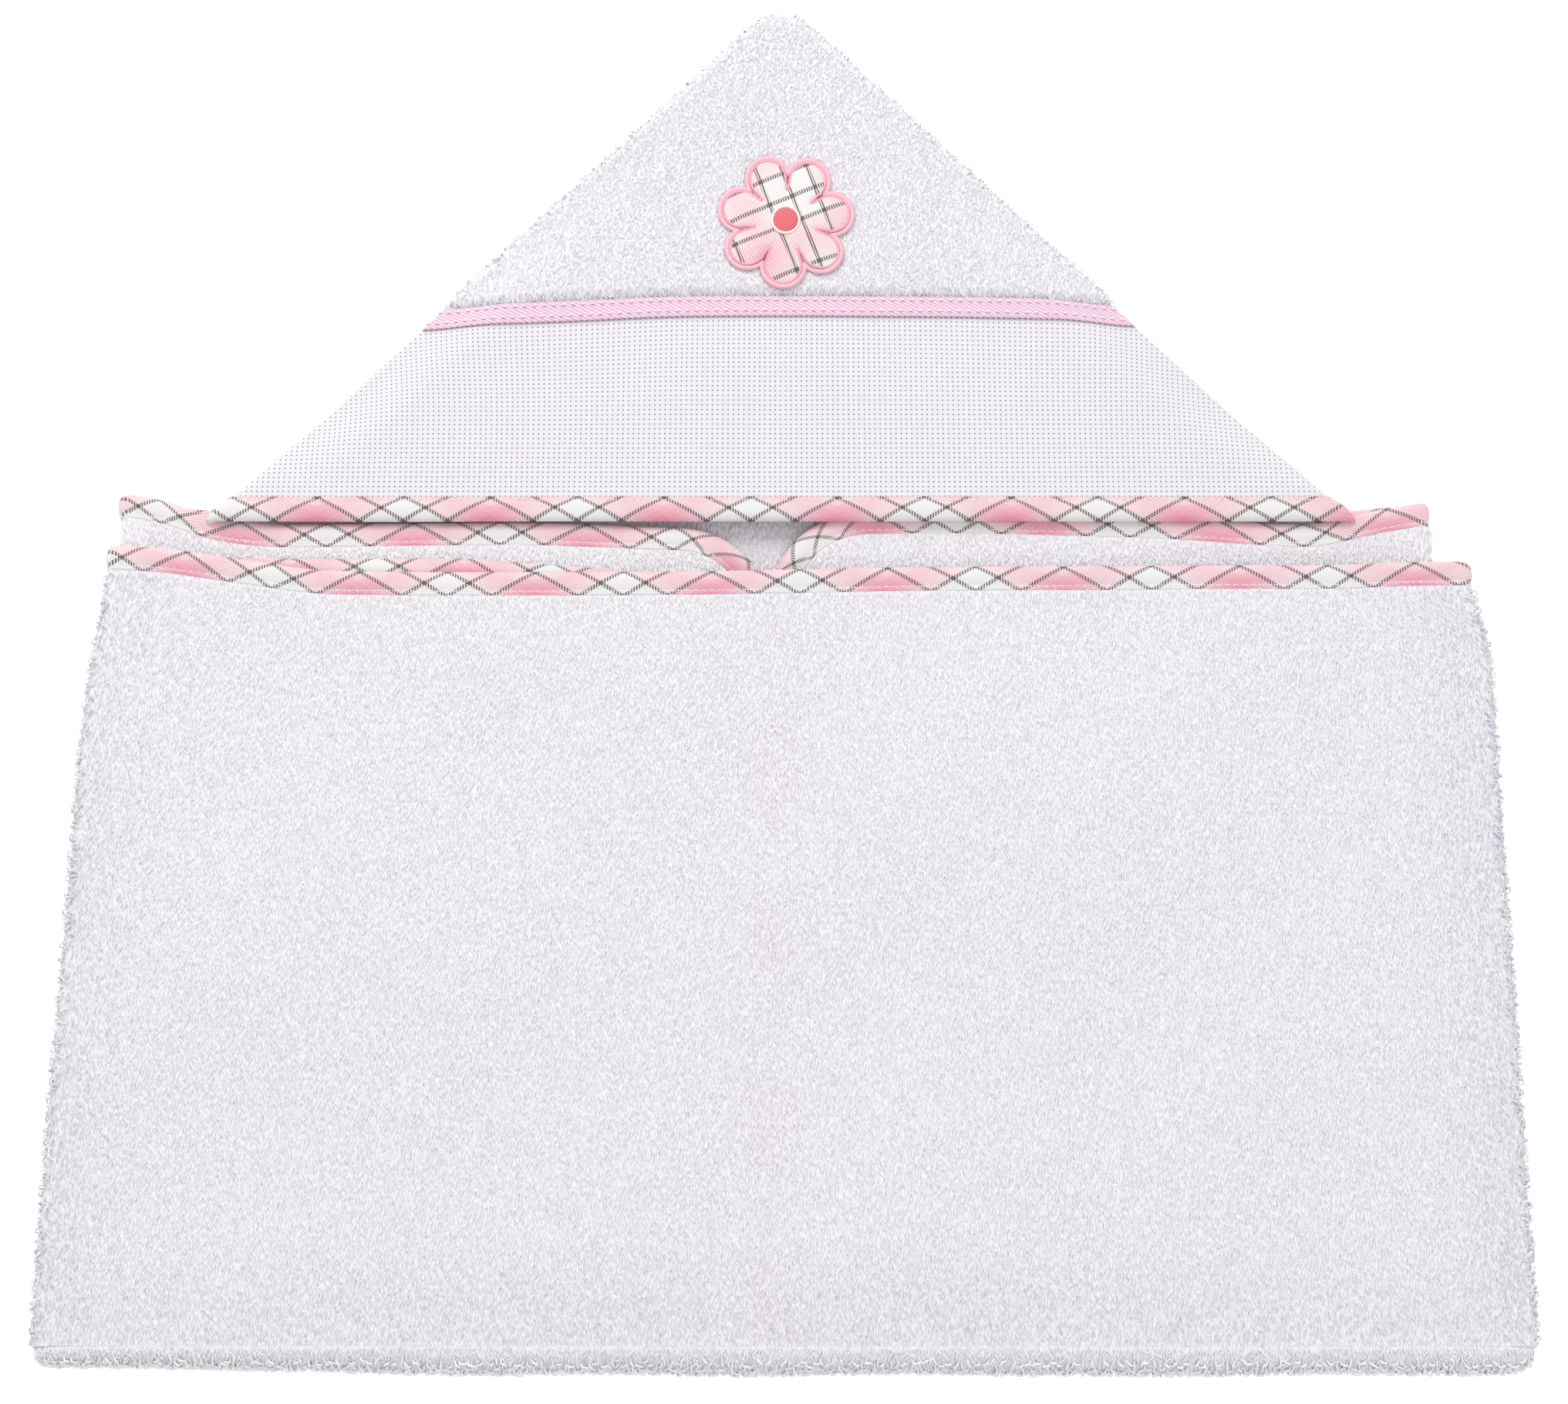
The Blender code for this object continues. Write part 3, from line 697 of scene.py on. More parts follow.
def lay_turn(x, s):
    """An inner turn, s metres round it from its start inside the upper flap."""
    x, s = np.broadcast_arrays(np.asarray(x, float), np.asarray(s, float))
    a = np.clip((s - LAP) / TURN, 0, math.pi)
    straight = np.maximum(LAP - s, 0) + np.maximum(s - LAP - SIDE_ARC, 0)
    return settle(x, FOLD_Y + straight - TURN * np.sin(a), FOLD_Z - TURN * np.cos(a))


for side, sign in (("left", -1), ("right", 1)):
    span = sorted((sign * MIDDLE_GAP * 3, sign * (SIDE_X - 0.002)))
    grid_x, grid_s = np.meshgrid(near_ends(*span, 0.01), np.linspace(0, TURN_LENGTH, 17))
    turn = laid_sheet(f"flap_fold_{side}", lay_turn, grid_x, grid_s, BASE * 0.9, TERRY_GROUND)
    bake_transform(turn)
    dress(turn, "white_terry", f"flap_turn_{side}")
print("bottom fold:", len(bottom_cloth.data.polygons), "faces")

# %% [markdown]
# ## The hood's shape
# The hood is a triangle of two cloths, sewn along its two slanted legs. Its front stands open
# a little at the mouth and comes down to the back at the legs and the tip. The same formula as
# the CAD frame gives the height of the front's underside. At a leg the front cloth rolls round
# to the back, so a place on it is given by the distance across, measured along the cloth.
# %% Hood surface
HOOD_LOW = TERRY + 0.0004  # height of the front's underside where it lies on the back
MOUTH_LIFT = 0.0095  # and where the mouth stands open
MOUTH_DEPTH = 0.040
CREASE_RAMP = 0.028
TUCK = 0.003  # how far a front cloth runs on under the hood, past its roll


def hood_half_width(y):
    """From the middle line to a leg of the hood, with the round tip."""
    centre_y = TIP_Y - TIP_RADIUS
    straight = (SHARP_TIP_Y - y) * math.tan(HOOD_ANGLE)
    tip = np.sqrt(np.maximum(TIP_RADIUS**2 - (y - centre_y) ** 2, 0.0008**2))
    return np.where(y <= centre_y + TIP_RADIUS * math.sin(HOOD_ANGLE), straight, tip)


def crease_height(y):
    """Underside of the hood's front right at its legs."""
    return HOOD_LOW + (MOUTH_LIFT - HOOD_LOW) * (1 - smooth_step((y - NECK_Y - 0.004) / 0.036))


def hood_underside(x, y):
    """Height of the underside of the hood's front, higher in the middle of the mouth."""
    inside = (y - NECK_Y - MOUTH_DEPTH) / (TIP_Y - 0.02 - NECK_Y - MOUTH_DEPTH)
    middle = HOOD_LOW + (MOUTH_LIFT - HOOD_LOW) * (1 - smooth_step(inside))
    crease = np.minimum(crease_height(y), middle)
    in_from_leg = (hood_half_width(y) - np.abs(x)) / CREASE_RAMP
    return crease + (middle - crease) * smooth_step(in_from_leg)


def hood_roll(y, over):
    """Radius of the roll at a leg, for a cloth whose middle is this far over the underside."""
    return np.maximum((crease_height(y) + over - BACK_Z) / 2, 0.0004)


def hood_reach(y, over, tuck):
    """Distance across from the middle line to the cloth's edge, tucked round to the back."""
    wrap = smooth_step((y - LIP_Y - 0.006) / 0.012)
    roll = np.minimum(hood_roll(y, over), hood_half_width(y) * 0.8)
    return hood_half_width(y) - roll + (math.pi * roll + tuck) * wrap


def hood_sag(c, y):
    """How far the tape and the cloth beside it hang down towards each leg."""
    left = 0.0034 * smooth_step((-c - 0.03) / 0.08)
    right = 0.0018 * smooth_step((c - 0.05) / 0.07)
    return (left + right) * np.exp(-(((y - TAPE_TOP_Y + 0.0045) / 0.03) ** 2))


print(f"mouth stands {MOUTH_LIFT - HOOD_LOW:.4f} m open")


# %% Laying the hood's cloths
def lay_hood(over):
    """The laying function of a hood cloth whose middle is this far over the underside."""

    def lay(c, y):
        c, y = np.broadcast_arrays(np.asarray(c, float), np.asarray(y, float))
        above = over(y) if callable(over) else over
        flat_y, y = y, y - hood_sag(c, y)
        half = hood_half_width(y)
        c = c * half / hood_half_width(flat_y)
        roll = np.minimum(hood_roll(y, above), half * 0.8)
        straight = half - roll  # the roll round a leg starts here
        bend = np.clip((np.abs(c) - straight) / roll, 0, math.pi)
        past = np.maximum(np.abs(c) - straight - math.pi * roll, 0)
        x = np.minimum(np.abs(c), straight) + roll * np.sin(bend) - past
        z = hood_underside(np.minimum(np.abs(c), half), y) + above
        top = hood_underside(straight, y) + above
        z = np.where(bend > 0, (top + BACK_Z) / 2 + (top - BACK_Z) / 2 * np.cos(bend), z)
        fall = 0.85 * smooth_step((y - TIP_Y + 0.007) / 0.0065)  # closes the tip down to the back
        z = z + (BACK_Z - z) * fall
        hill = ripple(x, y, 0.07, 3) * 0.0005 * np.clip(np.cos(bend), 0, 1)
        return np.stack([np.sign(c) * x, y, z + hill], -1)

    return lay


TERRY_OVER = TERRY / 2  # middle of the front terry over the hood's underside
AIDA_OVER = 0.00075  # middle of the embroidery cloth over it
TAPE_PRESS = 0.0028  # the terry rises to its full height this far above the tape


def terry_over(y):
    """Height of the hood terry's middle: pressed flat where the tape covers it."""
    return AIDA_OVER + (TERRY_OVER - AIDA_OVER) * smooth_step((y - TAPE_TOP_Y + 0.0002) / TAPE_PRESS)


lay_hood_terry = lay_hood(terry_over)
lay_hood_aida = lay_hood(AIDA_OVER)


def lay_hood_back(x, y):
    """The hood's back lies flat on the table."""
    x, y = np.broadcast_arrays(np.asarray(x, float), np.asarray(y, float))
    return np.stack([x, y, np.full(x.shape, BACK_Z)], -1)


print(f"hood {2 * float(hood_half_width(np.array(LIP_Y))):.3f} m wide at its bound edge")

# %% [markdown]
# ## The hood's two terry cloths
# The back is a flat triangle, joined to the towel at the neck. A strip of it there curls when the hood is
# laid over the front. The front starts under the tape, where it is pressed thin, and rolls round both legs
# to the back.
# %% Hood back and hood front
def hood_sheet(name, lay, reach, low, high, half, step, material, sides=61):
    """A hood cloth between two heights, as one closed sheet."""
    y = near_ends(low, high, step)
    crowd = math.pi / 2 * 0.9  # draws the columns together towards both legs
    share = np.sin(np.linspace(-1, 1, sides) * crowd) / math.sin(crowd)
    grid_y = np.repeat(y[:, None], sides, 1)
    width = reach(grid_y)
    grid_c = share[None] * width
    from_edge = np.minimum(np.minimum(grid_y - low, high - grid_y), width - np.abs(grid_c))
    full = half(grid_y) if callable(half) else half
    return laid_sheet(name, lay, grid_c, grid_y, rim_round(from_edge, full), material)


NECK_BEND = 0.026  # length of the strip that curls


def back_reach(y):
    """Half width of the hood's back, which ends inside the front's roll."""
    roll = np.minimum(hood_roll(y, TERRY_OVER), hood_half_width(y) * 0.8)
    return np.maximum(hood_half_width(y) - roll - 0.0012, 0.001)


hood_back = hood_sheet(
    "hood_back_cloth", lay_hood_back, back_reach, HOOD_LOW_Y, TIP_Y - 0.003, BASE, 0.0015, TERRY_GROUND
)
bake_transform(hood_back)
dress(hood_back, "white_terry", "hood_back")

TERRY_START = TAPE_LOW_Y + 0.004
PRESSED = 0.35  # share of the terry's thickness that is left under the tape


def terry_half(y):
    """Half the thickness of the hood's front terry."""
    return BASE * (PRESSED + (1 - PRESSED) * smooth_step((y - TAPE_TOP_Y) / TAPE_PRESS))


def terry_reach(y):
    return hood_reach(y, terry_over(y), TUCK)


hood_front = hood_sheet(
    "hood_front_cloth", lay_hood_terry, terry_reach, TERRY_START, TIP_Y - 0.0006, terry_half, 0.0012,
    TERRY_GROUND, 91,
)
dress(hood_front, "white_terry", "hood_front", body="hood")
print("hood terry:", len(hood_back.data.polygons) + len(hood_front.data.polygons), "faces")

# %% [markdown]
# ## The embroidery band
# The band is an even-weave cloth for cross-stitch: blocks of four threads over and under, with a small
# hole at every corner. Its holes are its look, so they are pits in the mesh on a lattice of 1.814 mm,
# which is 14 holes an inch, and the material paints shade into them. It also paints shade between its
# threads.
# %% Embroidery band
HOLE_PITCH = 0.0254 / 14
AIDA_HALF = 0.0005
PIT_SHARE = 0.35  # share of the thickness that is left at a hole
FIRST_LINE = 0.0022  # the band starts this far inside its binding
UNDER_TAPE = 0.0045  # and runs this far up under the tape


def aida_material():
    recipe = Recipe("embroidery cloth", Roughness=0.85, Specular_IOR_Level=0.25, **SHEEN)
    across, along, _ = recipe.flat()
    hole_x = recipe.wave(across, HOLE_PITCH)
    hole_y = recipe.wave(along, HOLE_PITCH)
    hole = recipe.step(hole_x * hole_y, 0.7, 0.9)
    thread_x = recipe.wave(across, HOLE_PITCH / 4)
    thread_y = recipe.wave(along, HOLE_PITCH / 4)
    blocks = [(place * (math.pi / HOLE_PITCH)).math("SINE") for place in (across, along)]
    turned = recipe.step(blocks[0] * blocks[1], -0.1, 0.1)
    weave = thread_x * turned + thread_y * (1 - turned)
    # Painted shade: the weave is darker between its threads, where the bump is low, and the holes get a
    # dark pinkish painted shade.
    body = recipe.mix(weave, (0.81, 0.795, 0.82), (0.905, 0.895, 0.912))
    recipe.feed("Base Color", recipe.mix(hole, body, (0.30, 0.20, 0.24)))
    recipe.feed("Roughness", weave * 0.1 + 0.8)
    recipe.bump(weave * 0.35 + (1 - hole) * 0.65, 0.0004, 0.6)
    return recipe.material


AIDA = aida_material()
step = HOLE_PITCH / 2  # a line through every row of holes, and one between
LINES_EACH_SIDE = 218
lines_x = np.arange(-LINES_EACH_SIDE, LINES_EACH_SIDE + 1) * step
first_line = round((LIP_Y + FIRST_LINE) / HOLE_PITCH) * HOLE_PITCH
lines_y = first_line + np.arange(int((TAPE_LOW_Y + UNDER_TAPE - LIP_Y) / step)) * step
grid_x, grid_y = np.meshgrid(lines_x, lines_y)
reach = hood_reach(grid_y, AIDA_OVER, TUCK)
clipped = np.clip(grid_x, -reach, reach)
faces = lattice_faces(*grid_x.shape)
spread_x = clipped.reshape(-1)[faces]
faces = faces[np.ptp(spread_x, axis=1) > step * 0.3]
used, faces = np.unique(faces, return_inverse=True)
faces = faces.reshape(-1, 4)
c, y = clipped.reshape(-1)[used], grid_y.reshape(-1)[used]
turns = 2 * math.pi / HOLE_PITCH
hole = (np.cos(turns * c) > 0.9) & (np.cos(turns * y) > 0.9)
thick = np.where(hole, AIDA_HALF * PIT_SHARE, AIDA_HALF)[:, None]
middle, normal = lay_hood_aida(c, y), directions(lay_hood_aida, c, y)[2]
aida = shell("hood_band_cloth", middle, normal, thick, faces, AIDA, np.stack([c, y, c * 0], -1))
dress(aida, "aida_cloth", "hood_aida_band", body="hood")
print("embroidery band:", int(hole.sum()), "holes")

# %% [markdown]
# ## Plaid
# The bindings and the flower are cut from one plaid cotton: a repeat of two white stripes set
# off by dark lines, and one pink stripe, in both directions. Where two pinks cross the colour
# is full, where pink crosses white it is pale. Each mesh point carries its place in both
# repeats, so the same material serves the bindings, which are cut on the bias and so show
# diamonds, and the flower, which is cut straight.
# %% Plaid material
LINE_PLACES = (0.0, 0.255, 0.51, 1.0)  # dark lines in one repeat, and the next repeat's first
DASH_PITCH = 0.0009  # the dark lines' twill, along the cloth
PLAID_WEAVE = 0.0082  # pitch of the fine weave, in repeats


def plaid_material(name, strength):
    """Plaid cotton. strength is how deep its pinks are."""
    recipe = Recipe(name, Roughness=0.8, Specular_IOR_Level=0.2, **SHEEN)
    first, second, along = recipe.flat()
    strengths = []
    lines = []
    for value in (first, second):
        share = value.math("FRACT")
        pinks = recipe.ramp(
            share, (0.0, 0.0), (0.515, 0.0), (0.53, 0.45), (0.60, 0.5), (0.625, 0.75), (0.68, 0.8),
            (0.70, 1.0), (0.80, 1.0), (0.82, 0.75), (0.88, 0.7), (0.905, 0.48), (0.98, 0.42), (0.995, 0.0),
        )
        strengths.append(pinks)
        dark = None
        for place in LINE_PLACES:
            off = (share - place).math("ABSOLUTE")
            line = 1 - recipe.step(off, 0.019, 0.0235)
            dark = line if dark is None else dark.math("MAXIMUM", line)
        lines.append(dark)
    broad = recipe.step(recipe.wave(first - second * 0.15, 0.030), 0.25, 0.75)
    hatch = broad * 0.8 + recipe.wave(second, 0.017) * 0.2
    pinkness = (strengths[0] + strengths[1]) * (0.5 * strength)
    light = recipe.ramp(
        pinkness, (0.0, (0.90, 0.885, 0.87)), (0.2, (0.92, 0.85, 0.84)), (0.5, (0.92, 0.76, 0.78)),
        (0.6, (0.90, 0.60, 0.65)), (1.0, (0.90, 0.42, 0.52)),
    )
    deep = recipe.ramp(
        pinkness, (0.0, (0.87, 0.85, 0.83)), (0.2, (0.90, 0.58, 0.63)), (0.5, (0.89, 0.45, 0.53)),
        (0.6, (0.88, 0.42, 0.50)), (1.0, (0.88, 0.27, 0.40)),
    )
    colour = recipe.mix(hatch, light, deep)
    dash = recipe.step(recipe.wave(along, DASH_PITCH), 0.38, 0.56) * 0.85 + 0.15
    either_line = lines[0].math("MAXIMUM", lines[1])
    dark = (either_line * dash).math("MAXIMUM", lines[0] * lines[1])
    recipe.feed("Base Color", recipe.mix(dark * 0.93, colour, (0.085, 0.062, 0.06)))
    weave = recipe.wave(first, PLAID_WEAVE) * 0.5 + recipe.wave(second, PLAID_WEAVE) * 0.5
    recipe.feed("Roughness", weave * 0.15 + 0.72)
    recipe.bump(weave, 0.00018, 0.5)
    return recipe.material


PLAID = plaid_material("plaid cotton", 1.0)
PATCH_PLAID = plaid_material("plaid cotton of the patch", 0.62)
REPEAT_ALONG = 0.0594  # one repeat of the bias-cut plaid, along a binding
BIAS_SLOPE = math.tan(math.radians(30.5))


def bias_coordinates(along, across, meet, start):
    """Place in both repeats of a bias strip. The dark lines cross at across = meet."""
    off, run = (across - meet) / BIAS_SLOPE, along - start
    return np.stack([(run + off) / REPEAT_ALONG, (run - off) / REPEAT_ALONG, along], -1)


print("plaid repeat along a binding:", REPEAT_ALONG)

# %% [markdown]
# ## Bindings
# A binding is a folded strip sewn over a raw edge. Its cross-section is a soft U: puffed between
# the fold and the seam, and pulled in where the stitches go through. The section is swept along
# the cloth's edge in flat coordinates, so it goes round the side folds and the corners with it.
# %% Binding sweep
STITCH_PITCH = 0.0028
STITCH_DEEP = 0.0076  # the seam's distance in from the fold
INNER_POINTS = 8  # points of the U's inner wall


def binding_section(cloth_half, puff):
    """(distance in from the fold, height) points of the U: its outer wall, then its inner one."""
    deep = np.array([9.0, 8.9, 8.3, 7.6, 6.8, 5.6, 4.3, 3.0, 1.9, 1.0, 0.35, 0.0]) / 1000
    rise = np.array([0.15, 0.55, 0.70, 0.62, 0.86, 1.0, 1.04, 1.0, 0.88, 0.68, 0.40, 0.0])
    height = rise * (cloth_half + puff)
    height[:4] = cloth_half + np.array([0.05, 0.35, 0.5, 0.35]) * puff
    outer = list(zip(deep, height)) + list(zip(deep[-2::-1], -height[-2::-1]))
    inner_deep = np.array([8.8, 6.0, 3.0, 1.4]) / 1000
    wall = cloth_half * 0.8
    inner = [(d, -wall) for d in inner_deep] + [(d, wall) for d in inner_deep[::-1]]
    return np.array(outer + inner)


def end_caps(rows, columns):
    """Quads between the outer and the inner wall of the U, at both ends of a strip."""
    outer = np.arange(columns - INNER_POINTS)
    inner = np.arange(columns - INNER_POINTS, columns)[::-1]
    facing = inner[np.round(np.linspace(0, INNER_POINTS - 1, len(outer))).astype(int)]
    cap = np.stack([outer[:-1], outer[1:], facing[1:], facing[:-1]], -1)
    return np.concatenate([cap[:, ::-1], cap + (rows - 1) * columns])


def sweep_binding(name, lay, path, section, meet, start, length, plaid_side=1, slide=0.0):
    """Sweeps the section along an edge. path is its flat places and its inward directions."""
    edge_u, edge_v, in_u, in_v = (part[:, None] for part in path)
    deep, height = section[:, 0][None], section[:, 1][None]
    scallop = np.cos(2 * math.pi * length / STITCH_PITCH)[:, None]
    pull = np.exp(-((deep - STITCH_DEEP) / 0.0011) ** 2)  # the seam draws the strip in
    dip = pull * np.sign(height) * 0.00016 * (1 + scallop)
    waver = 1 + 0.05 * ripple(length, length * 0, 0.02, 21)[:, None]
    u, v = edge_u + deep * in_u, edge_v + deep * in_v
    normal = directions(lay, u, v)[2]
    points = (lay(u, v) + normal * (height * waver - dip)[..., None]).reshape(-1, 3)
    across = np.where(height >= 0, deep, -deep)
    coordinates = bias_coordinates(length[:, None] + deep * slide, across * plaid_side, meet, start)
    faces = np.concatenate([lattice_faces(*u.shape, close=True), end_caps(*u.shape)])
    return mesh_object(name, points, outward(points, faces), [PLAID], coordinates.reshape(-1, 3))


print("a binding's section has", len(binding_section(0.001, 0.001)), "points")


# %% Runs along the edges
def flap_edge_path(height, end_u, step=0.0009, down_to=0.0015):
    """Along the left of a half's edge: in from end_u, round the corner, down the free edge."""
    top_u = np.linspace(end_u, CORNER, int((end_u - CORNER) / step))
    count = int(CORNER * math.pi / 2 / step)
    turn = np.linspace(0, math.pi / 2, count)[1:]
    corner_u = CORNER - CORNER * np.sin(turn)
    corner_v = height - CORNER + CORNER * np.cos(turn)
    down_v = np.arange(height - CORNER - 0.004, down_to, -0.004)
    u = np.concatenate([top_u, corner_u, down_v * 0])
    v = np.concatenate([top_u * 0 + height, corner_v, down_v])
    in_u = np.concatenate([top_u * 0, np.sin(turn), down_v * 0 + 1])
    in_v = np.concatenate([top_u * 0 - 1, -np.cos(turn), down_v * 0])
    return u, v, in_u, in_v


def on_the_right(path):
    """The same run along the right edge."""
    u, v, in_u, in_v = path
    return FLAT_WIDTH - u, v, -in_u, in_v


def both_sides(path):
    """A run that starts in the middle, and its mirror, as one run from left to right."""
    u, v, in_u, in_v = path
    signs = ((u, FLAT_WIDTH - u), (v, v), (in_u, -in_u), (in_v, in_v))
    return tuple(np.concatenate([left[::-1], right[1:]]) for left, right in signs)


def run_length(points):
    return np.concatenate([[0], np.cumsum(np.linalg.norm(np.diff(points, axis=0), axis=1))])


print(f"a corner turns round {CORNER * math.pi / 2:.3f} m of edge")


# %% Edge bindings
def dress_binding(piece, node, body, length):
    """Hangs a binding on its body, hides its CAD node, and prints its flat length."""
    dress(piece, "plaid_bias_tape", node, body=body)
    print(f"{piece.name}: {length:.3f} m")


SECTION = binding_section(0.0012, 0.0009)
# each strip's plaid starts so that its white diamonds lie where they do on the real one
PLAID_STARTS = {"left": 0.0405, "right": 0.0078, "front": -0.0117, "hood": -0.0253}
hood_end = float(hood_half_width(np.array(HOOD_LOW_Y))) + MIDDLE_GAP  # clear of the hood by a hair
END_U = FLAP_WIDTH + SIDE_ARC + (SIDE_X - hood_end)  # where the back half's bindings meet the hood

for side in ("left", "right"):
    path = flap_edge_path(BACK_HEIGHT, END_U)
    if side == "right":
        path = on_the_right(path)
    length = run_length(lay_back(*path[:2]))
    binding = sweep_binding(
        f"edge_binding_cloth_{side}", lay_back, path, SECTION, 0.0092, PLAID_STARTS[side], length, -1
    )
    dress_binding(binding, f"edge_binding_{side}", "folded_back", float(length[-1]))

path = both_sides(flap_edge_path(FRONT_HEIGHT, FLAT_WIDTH / 2))
length = run_length(lay_front(*path[:2]))
from_middle = length - length[len(length) // 2]
front_binding = sweep_binding(
    "front_binding_cloth", lay_front, path, SECTION, 0.0094, PLAID_STARTS["front"], from_middle
)
dress_binding(front_binding, "front_binding", "front_half", float(length[-1]))

# %% [markdown]
# ## The hood's binding
# The strip on the hood's free edge ends at the two legs, and its ends are cut along them. So the
# section's inward direction turns from straight up to the leg's own slant near each end, and
# the plaid slides with it.
# %% Hood binding
LIP_TURN = 0.03  # length over which the strip turns to follow a leg
lip_end = float(hood_half_width(np.array(LIP_Y))) - 0.0008
edge_c = np.linspace(-lip_end, lip_end, 430)
edge_y = np.full(len(edge_c), LIP_Y)
follow = smooth_step((np.abs(edge_c) - lip_end + LIP_TURN) / LIP_TURN)
in_c = -np.sign(edge_c) * follow * math.tan(HOOD_ANGLE)
hood_binding = sweep_binding(
    "hood_binding_cloth", lay_hood_aida, (edge_c, edge_y, in_c, np.ones(len(edge_c))),
    binding_section(0.0007, 0.0012), 0.0, PLAID_STARTS["hood"], edge_c, slide=in_c[:, None],
)
dress_binding(hood_binding, "hood_binding", "hood", 2 * lip_end)

# %% [markdown]
# ## Tape
# A flat twill tape covers the seam between the terry and the embroidery cloth. Its ribs run on
# a slant, and two rows of white stitches hold it down. The ribs are in the material; the tape
# itself is a thin sheet laid a little over the hood's surface.
# %% Tape
def tape_material():
    recipe = Recipe("pink twill tape", Roughness=0.7, Specular_IOR_Level=0.3, Sheen_Weight=0.3)
    across, along, _ = recipe.flat()
    rib = recipe.step(recipe.wave(across + along * 1.7, 0.0023), 0.15, 0.85)
    cross = recipe.wave(across, 0.00045)
    # Painted light and shade: the ribs are darker in their grooves and the fine cross threads lighter on
    # top, alongside the bump.
    colour = recipe.mix(rib, (0.77, 0.43, 0.60), (0.92, 0.72, 0.81))
    colour = recipe.mix(cross * 0.25, colour, (0.93, 0.76, 0.87))
    recipe.feed("Base Color", colour)
    recipe.feed("Roughness", rib * 0.15 + 0.6)
    recipe.bump(rib * 0.8 + cross * 0.2, 0.00025, 0.6)
    return recipe.material


TAPE_OVER = 0.002  # middle of the tape over the hood's underside, clear of both cloths
TAPE_HALF = 0.00025
TAPE_TUCK = 0.001
lay_hood_tape = lay_hood(TAPE_OVER)


def tape_reach(y):
    return hood_reach(y, TAPE_OVER, TAPE_TUCK)


tape = hood_sheet(
    "hood_tape_cloth", lay_hood_tape, tape_reach, TAPE_LOW_Y, TAPE_TOP_Y, TAPE_HALF, 0.0008,
    tape_material(), 161,
)
dress(tape, "pink_twill_tape", "hood_tape", body="hood")
print("tape:", len(tape.data.polygons), "faces")

# %% [markdown]
# ## Stitches
# A row of machine stitches is a line of short thread bridges that dip into the cloth at both
# ends. Each stitch is a thin tube of five rings, laid in flat coordinates like everything else.
# The tape's stitches are thicker and longer than the fine ones that hold the bindings.
# %% Stitch rows
def thread_material():
    recipe = Recipe("white sewing thread", Roughness=0.55, Specular_IOR_Level=0.35)
    spin = recipe.noise(900.0, 1.0)
    recipe.feed("Base Color", recipe.mix(spin, (0.92, 0.91, 0.92), (0.99, 0.985, 0.99)))
    return recipe.material


THREAD_WHITE = thread_material()
STITCH_RINGS = 5
STITCH_SIDES = 6
TAPE_STITCH = {"height": 0.00042, "pitch": 0.0034, "length": 0.0017, "radius": 0.00036}
EDGE_STITCH = {"height": 0.0014, "pitch": STITCH_PITCH, "length": 0.0019, "radius": 0.00014}


def stitch_row(name, node, body, lay, u, v, height, pitch, length, radius, sign=1):
    """Stitches along a line of flat places, each a little bridge over the cloth."""
    line = lay(u, v) + directions(lay, u, v)[2] * height * sign
    run = run_length(line)
    starts = np.arange(pitch * 0.5, run[-1] - pitch, pitch)
    shares = np.array([0, 0.18, 0.5, 0.82, 1.0])
    lifts = np.array([-0.5, 0.55, 1.0, 0.55, -0.5]) * radius
    at = starts[:, None] + shares[None] * length
    flat_u, flat_v = np.interp(at, run, u), np.interp(at, run, v)
    out = directions(lay, flat_u, flat_v)[2] * sign
    path = lay(flat_u, flat_v) + out * (height + lifts[None])[..., None]
    run_dir = unit(np.gradient(path, axis=1))
    side = np.cross(out, run_dir)
    rings = []
    for corner in range(STITCH_SIDES):
        angle = 2 * math.pi * corner / STITCH_SIDES
        thick = radius * np.array([0.6, 1, 1, 1, 0.6])[None, :, None]
        rings.append(path + (side * math.cos(angle) + out * math.sin(angle)) * thick)
    points = np.stack(rings, 2).reshape(-1, 3)
    one = lattice_faces(STITCH_RINGS, STITCH_SIDES, close=True)
    first = np.arange(len(starts))[:, None, None] * (STITCH_RINGS * STITCH_SIDES)
    piece = mesh_object(name, points, (first + one[None]).reshape(-1, 4), [THREAD_WHITE])
    dress(piece, "white_thread", node, body=body)
    print(f"{name}: {len(starts)} stitches")


print("a stitch has", STITCH_RINGS, "rings")


# %% Rows of stitches
def seam(path):
    """Flat places of the seam along a binding's path."""
    u, v, in_u, in_v = path
    return u + in_u * STITCH_DEEP, v + in_v * STITCH_DEEP


for row, y in (("lower", TAPE_LOW_Y + 0.0021), ("upper", TAPE_TOP_Y - 0.0017)):
    reach = float(hood_half_width(np.array(y))) + 0.001
    c = np.linspace(-reach, reach, 300)
    node = f"tape_stitching_{row}"
    stitch_row(f"tape_stitches_{row}", node, "hood", lay_hood_tape, c, c * 0 + y, **TAPE_STITCH)

SEAM_END = 0.2  # the hidden seams stop this high on the flaps' free edges
for side in ("left", "right"):
    path = flap_edge_path(BACK_HEIGHT, END_U, down_to=SEAM_END)
    if side == "right":
        path = on_the_right(path)
    node = f"edge_stitching_{side}"
    stitch_row(f"edge_stitches_{side}", node, "folded_back", lay_back, *seam(path), **EDGE_STITCH, sign=-1)

path = both_sides(flap_edge_path(FRONT_HEIGHT, FLAT_WIDTH / 2, down_to=SEAM_END))
stitch_row("front_stitches", "front_stitching", "front_half", lay_front, *seam(path), **EDGE_STITCH)

LIP_STITCH = {**EDGE_STITCH, "height": 0.0011}
lip_seam = (edge_c, edge_y + STITCH_DEEP)
stitch_row("hood_edge_stitches", "hood_stitching", "hood", lay_hood_aida, *lip_seam, **LIP_STITCH)

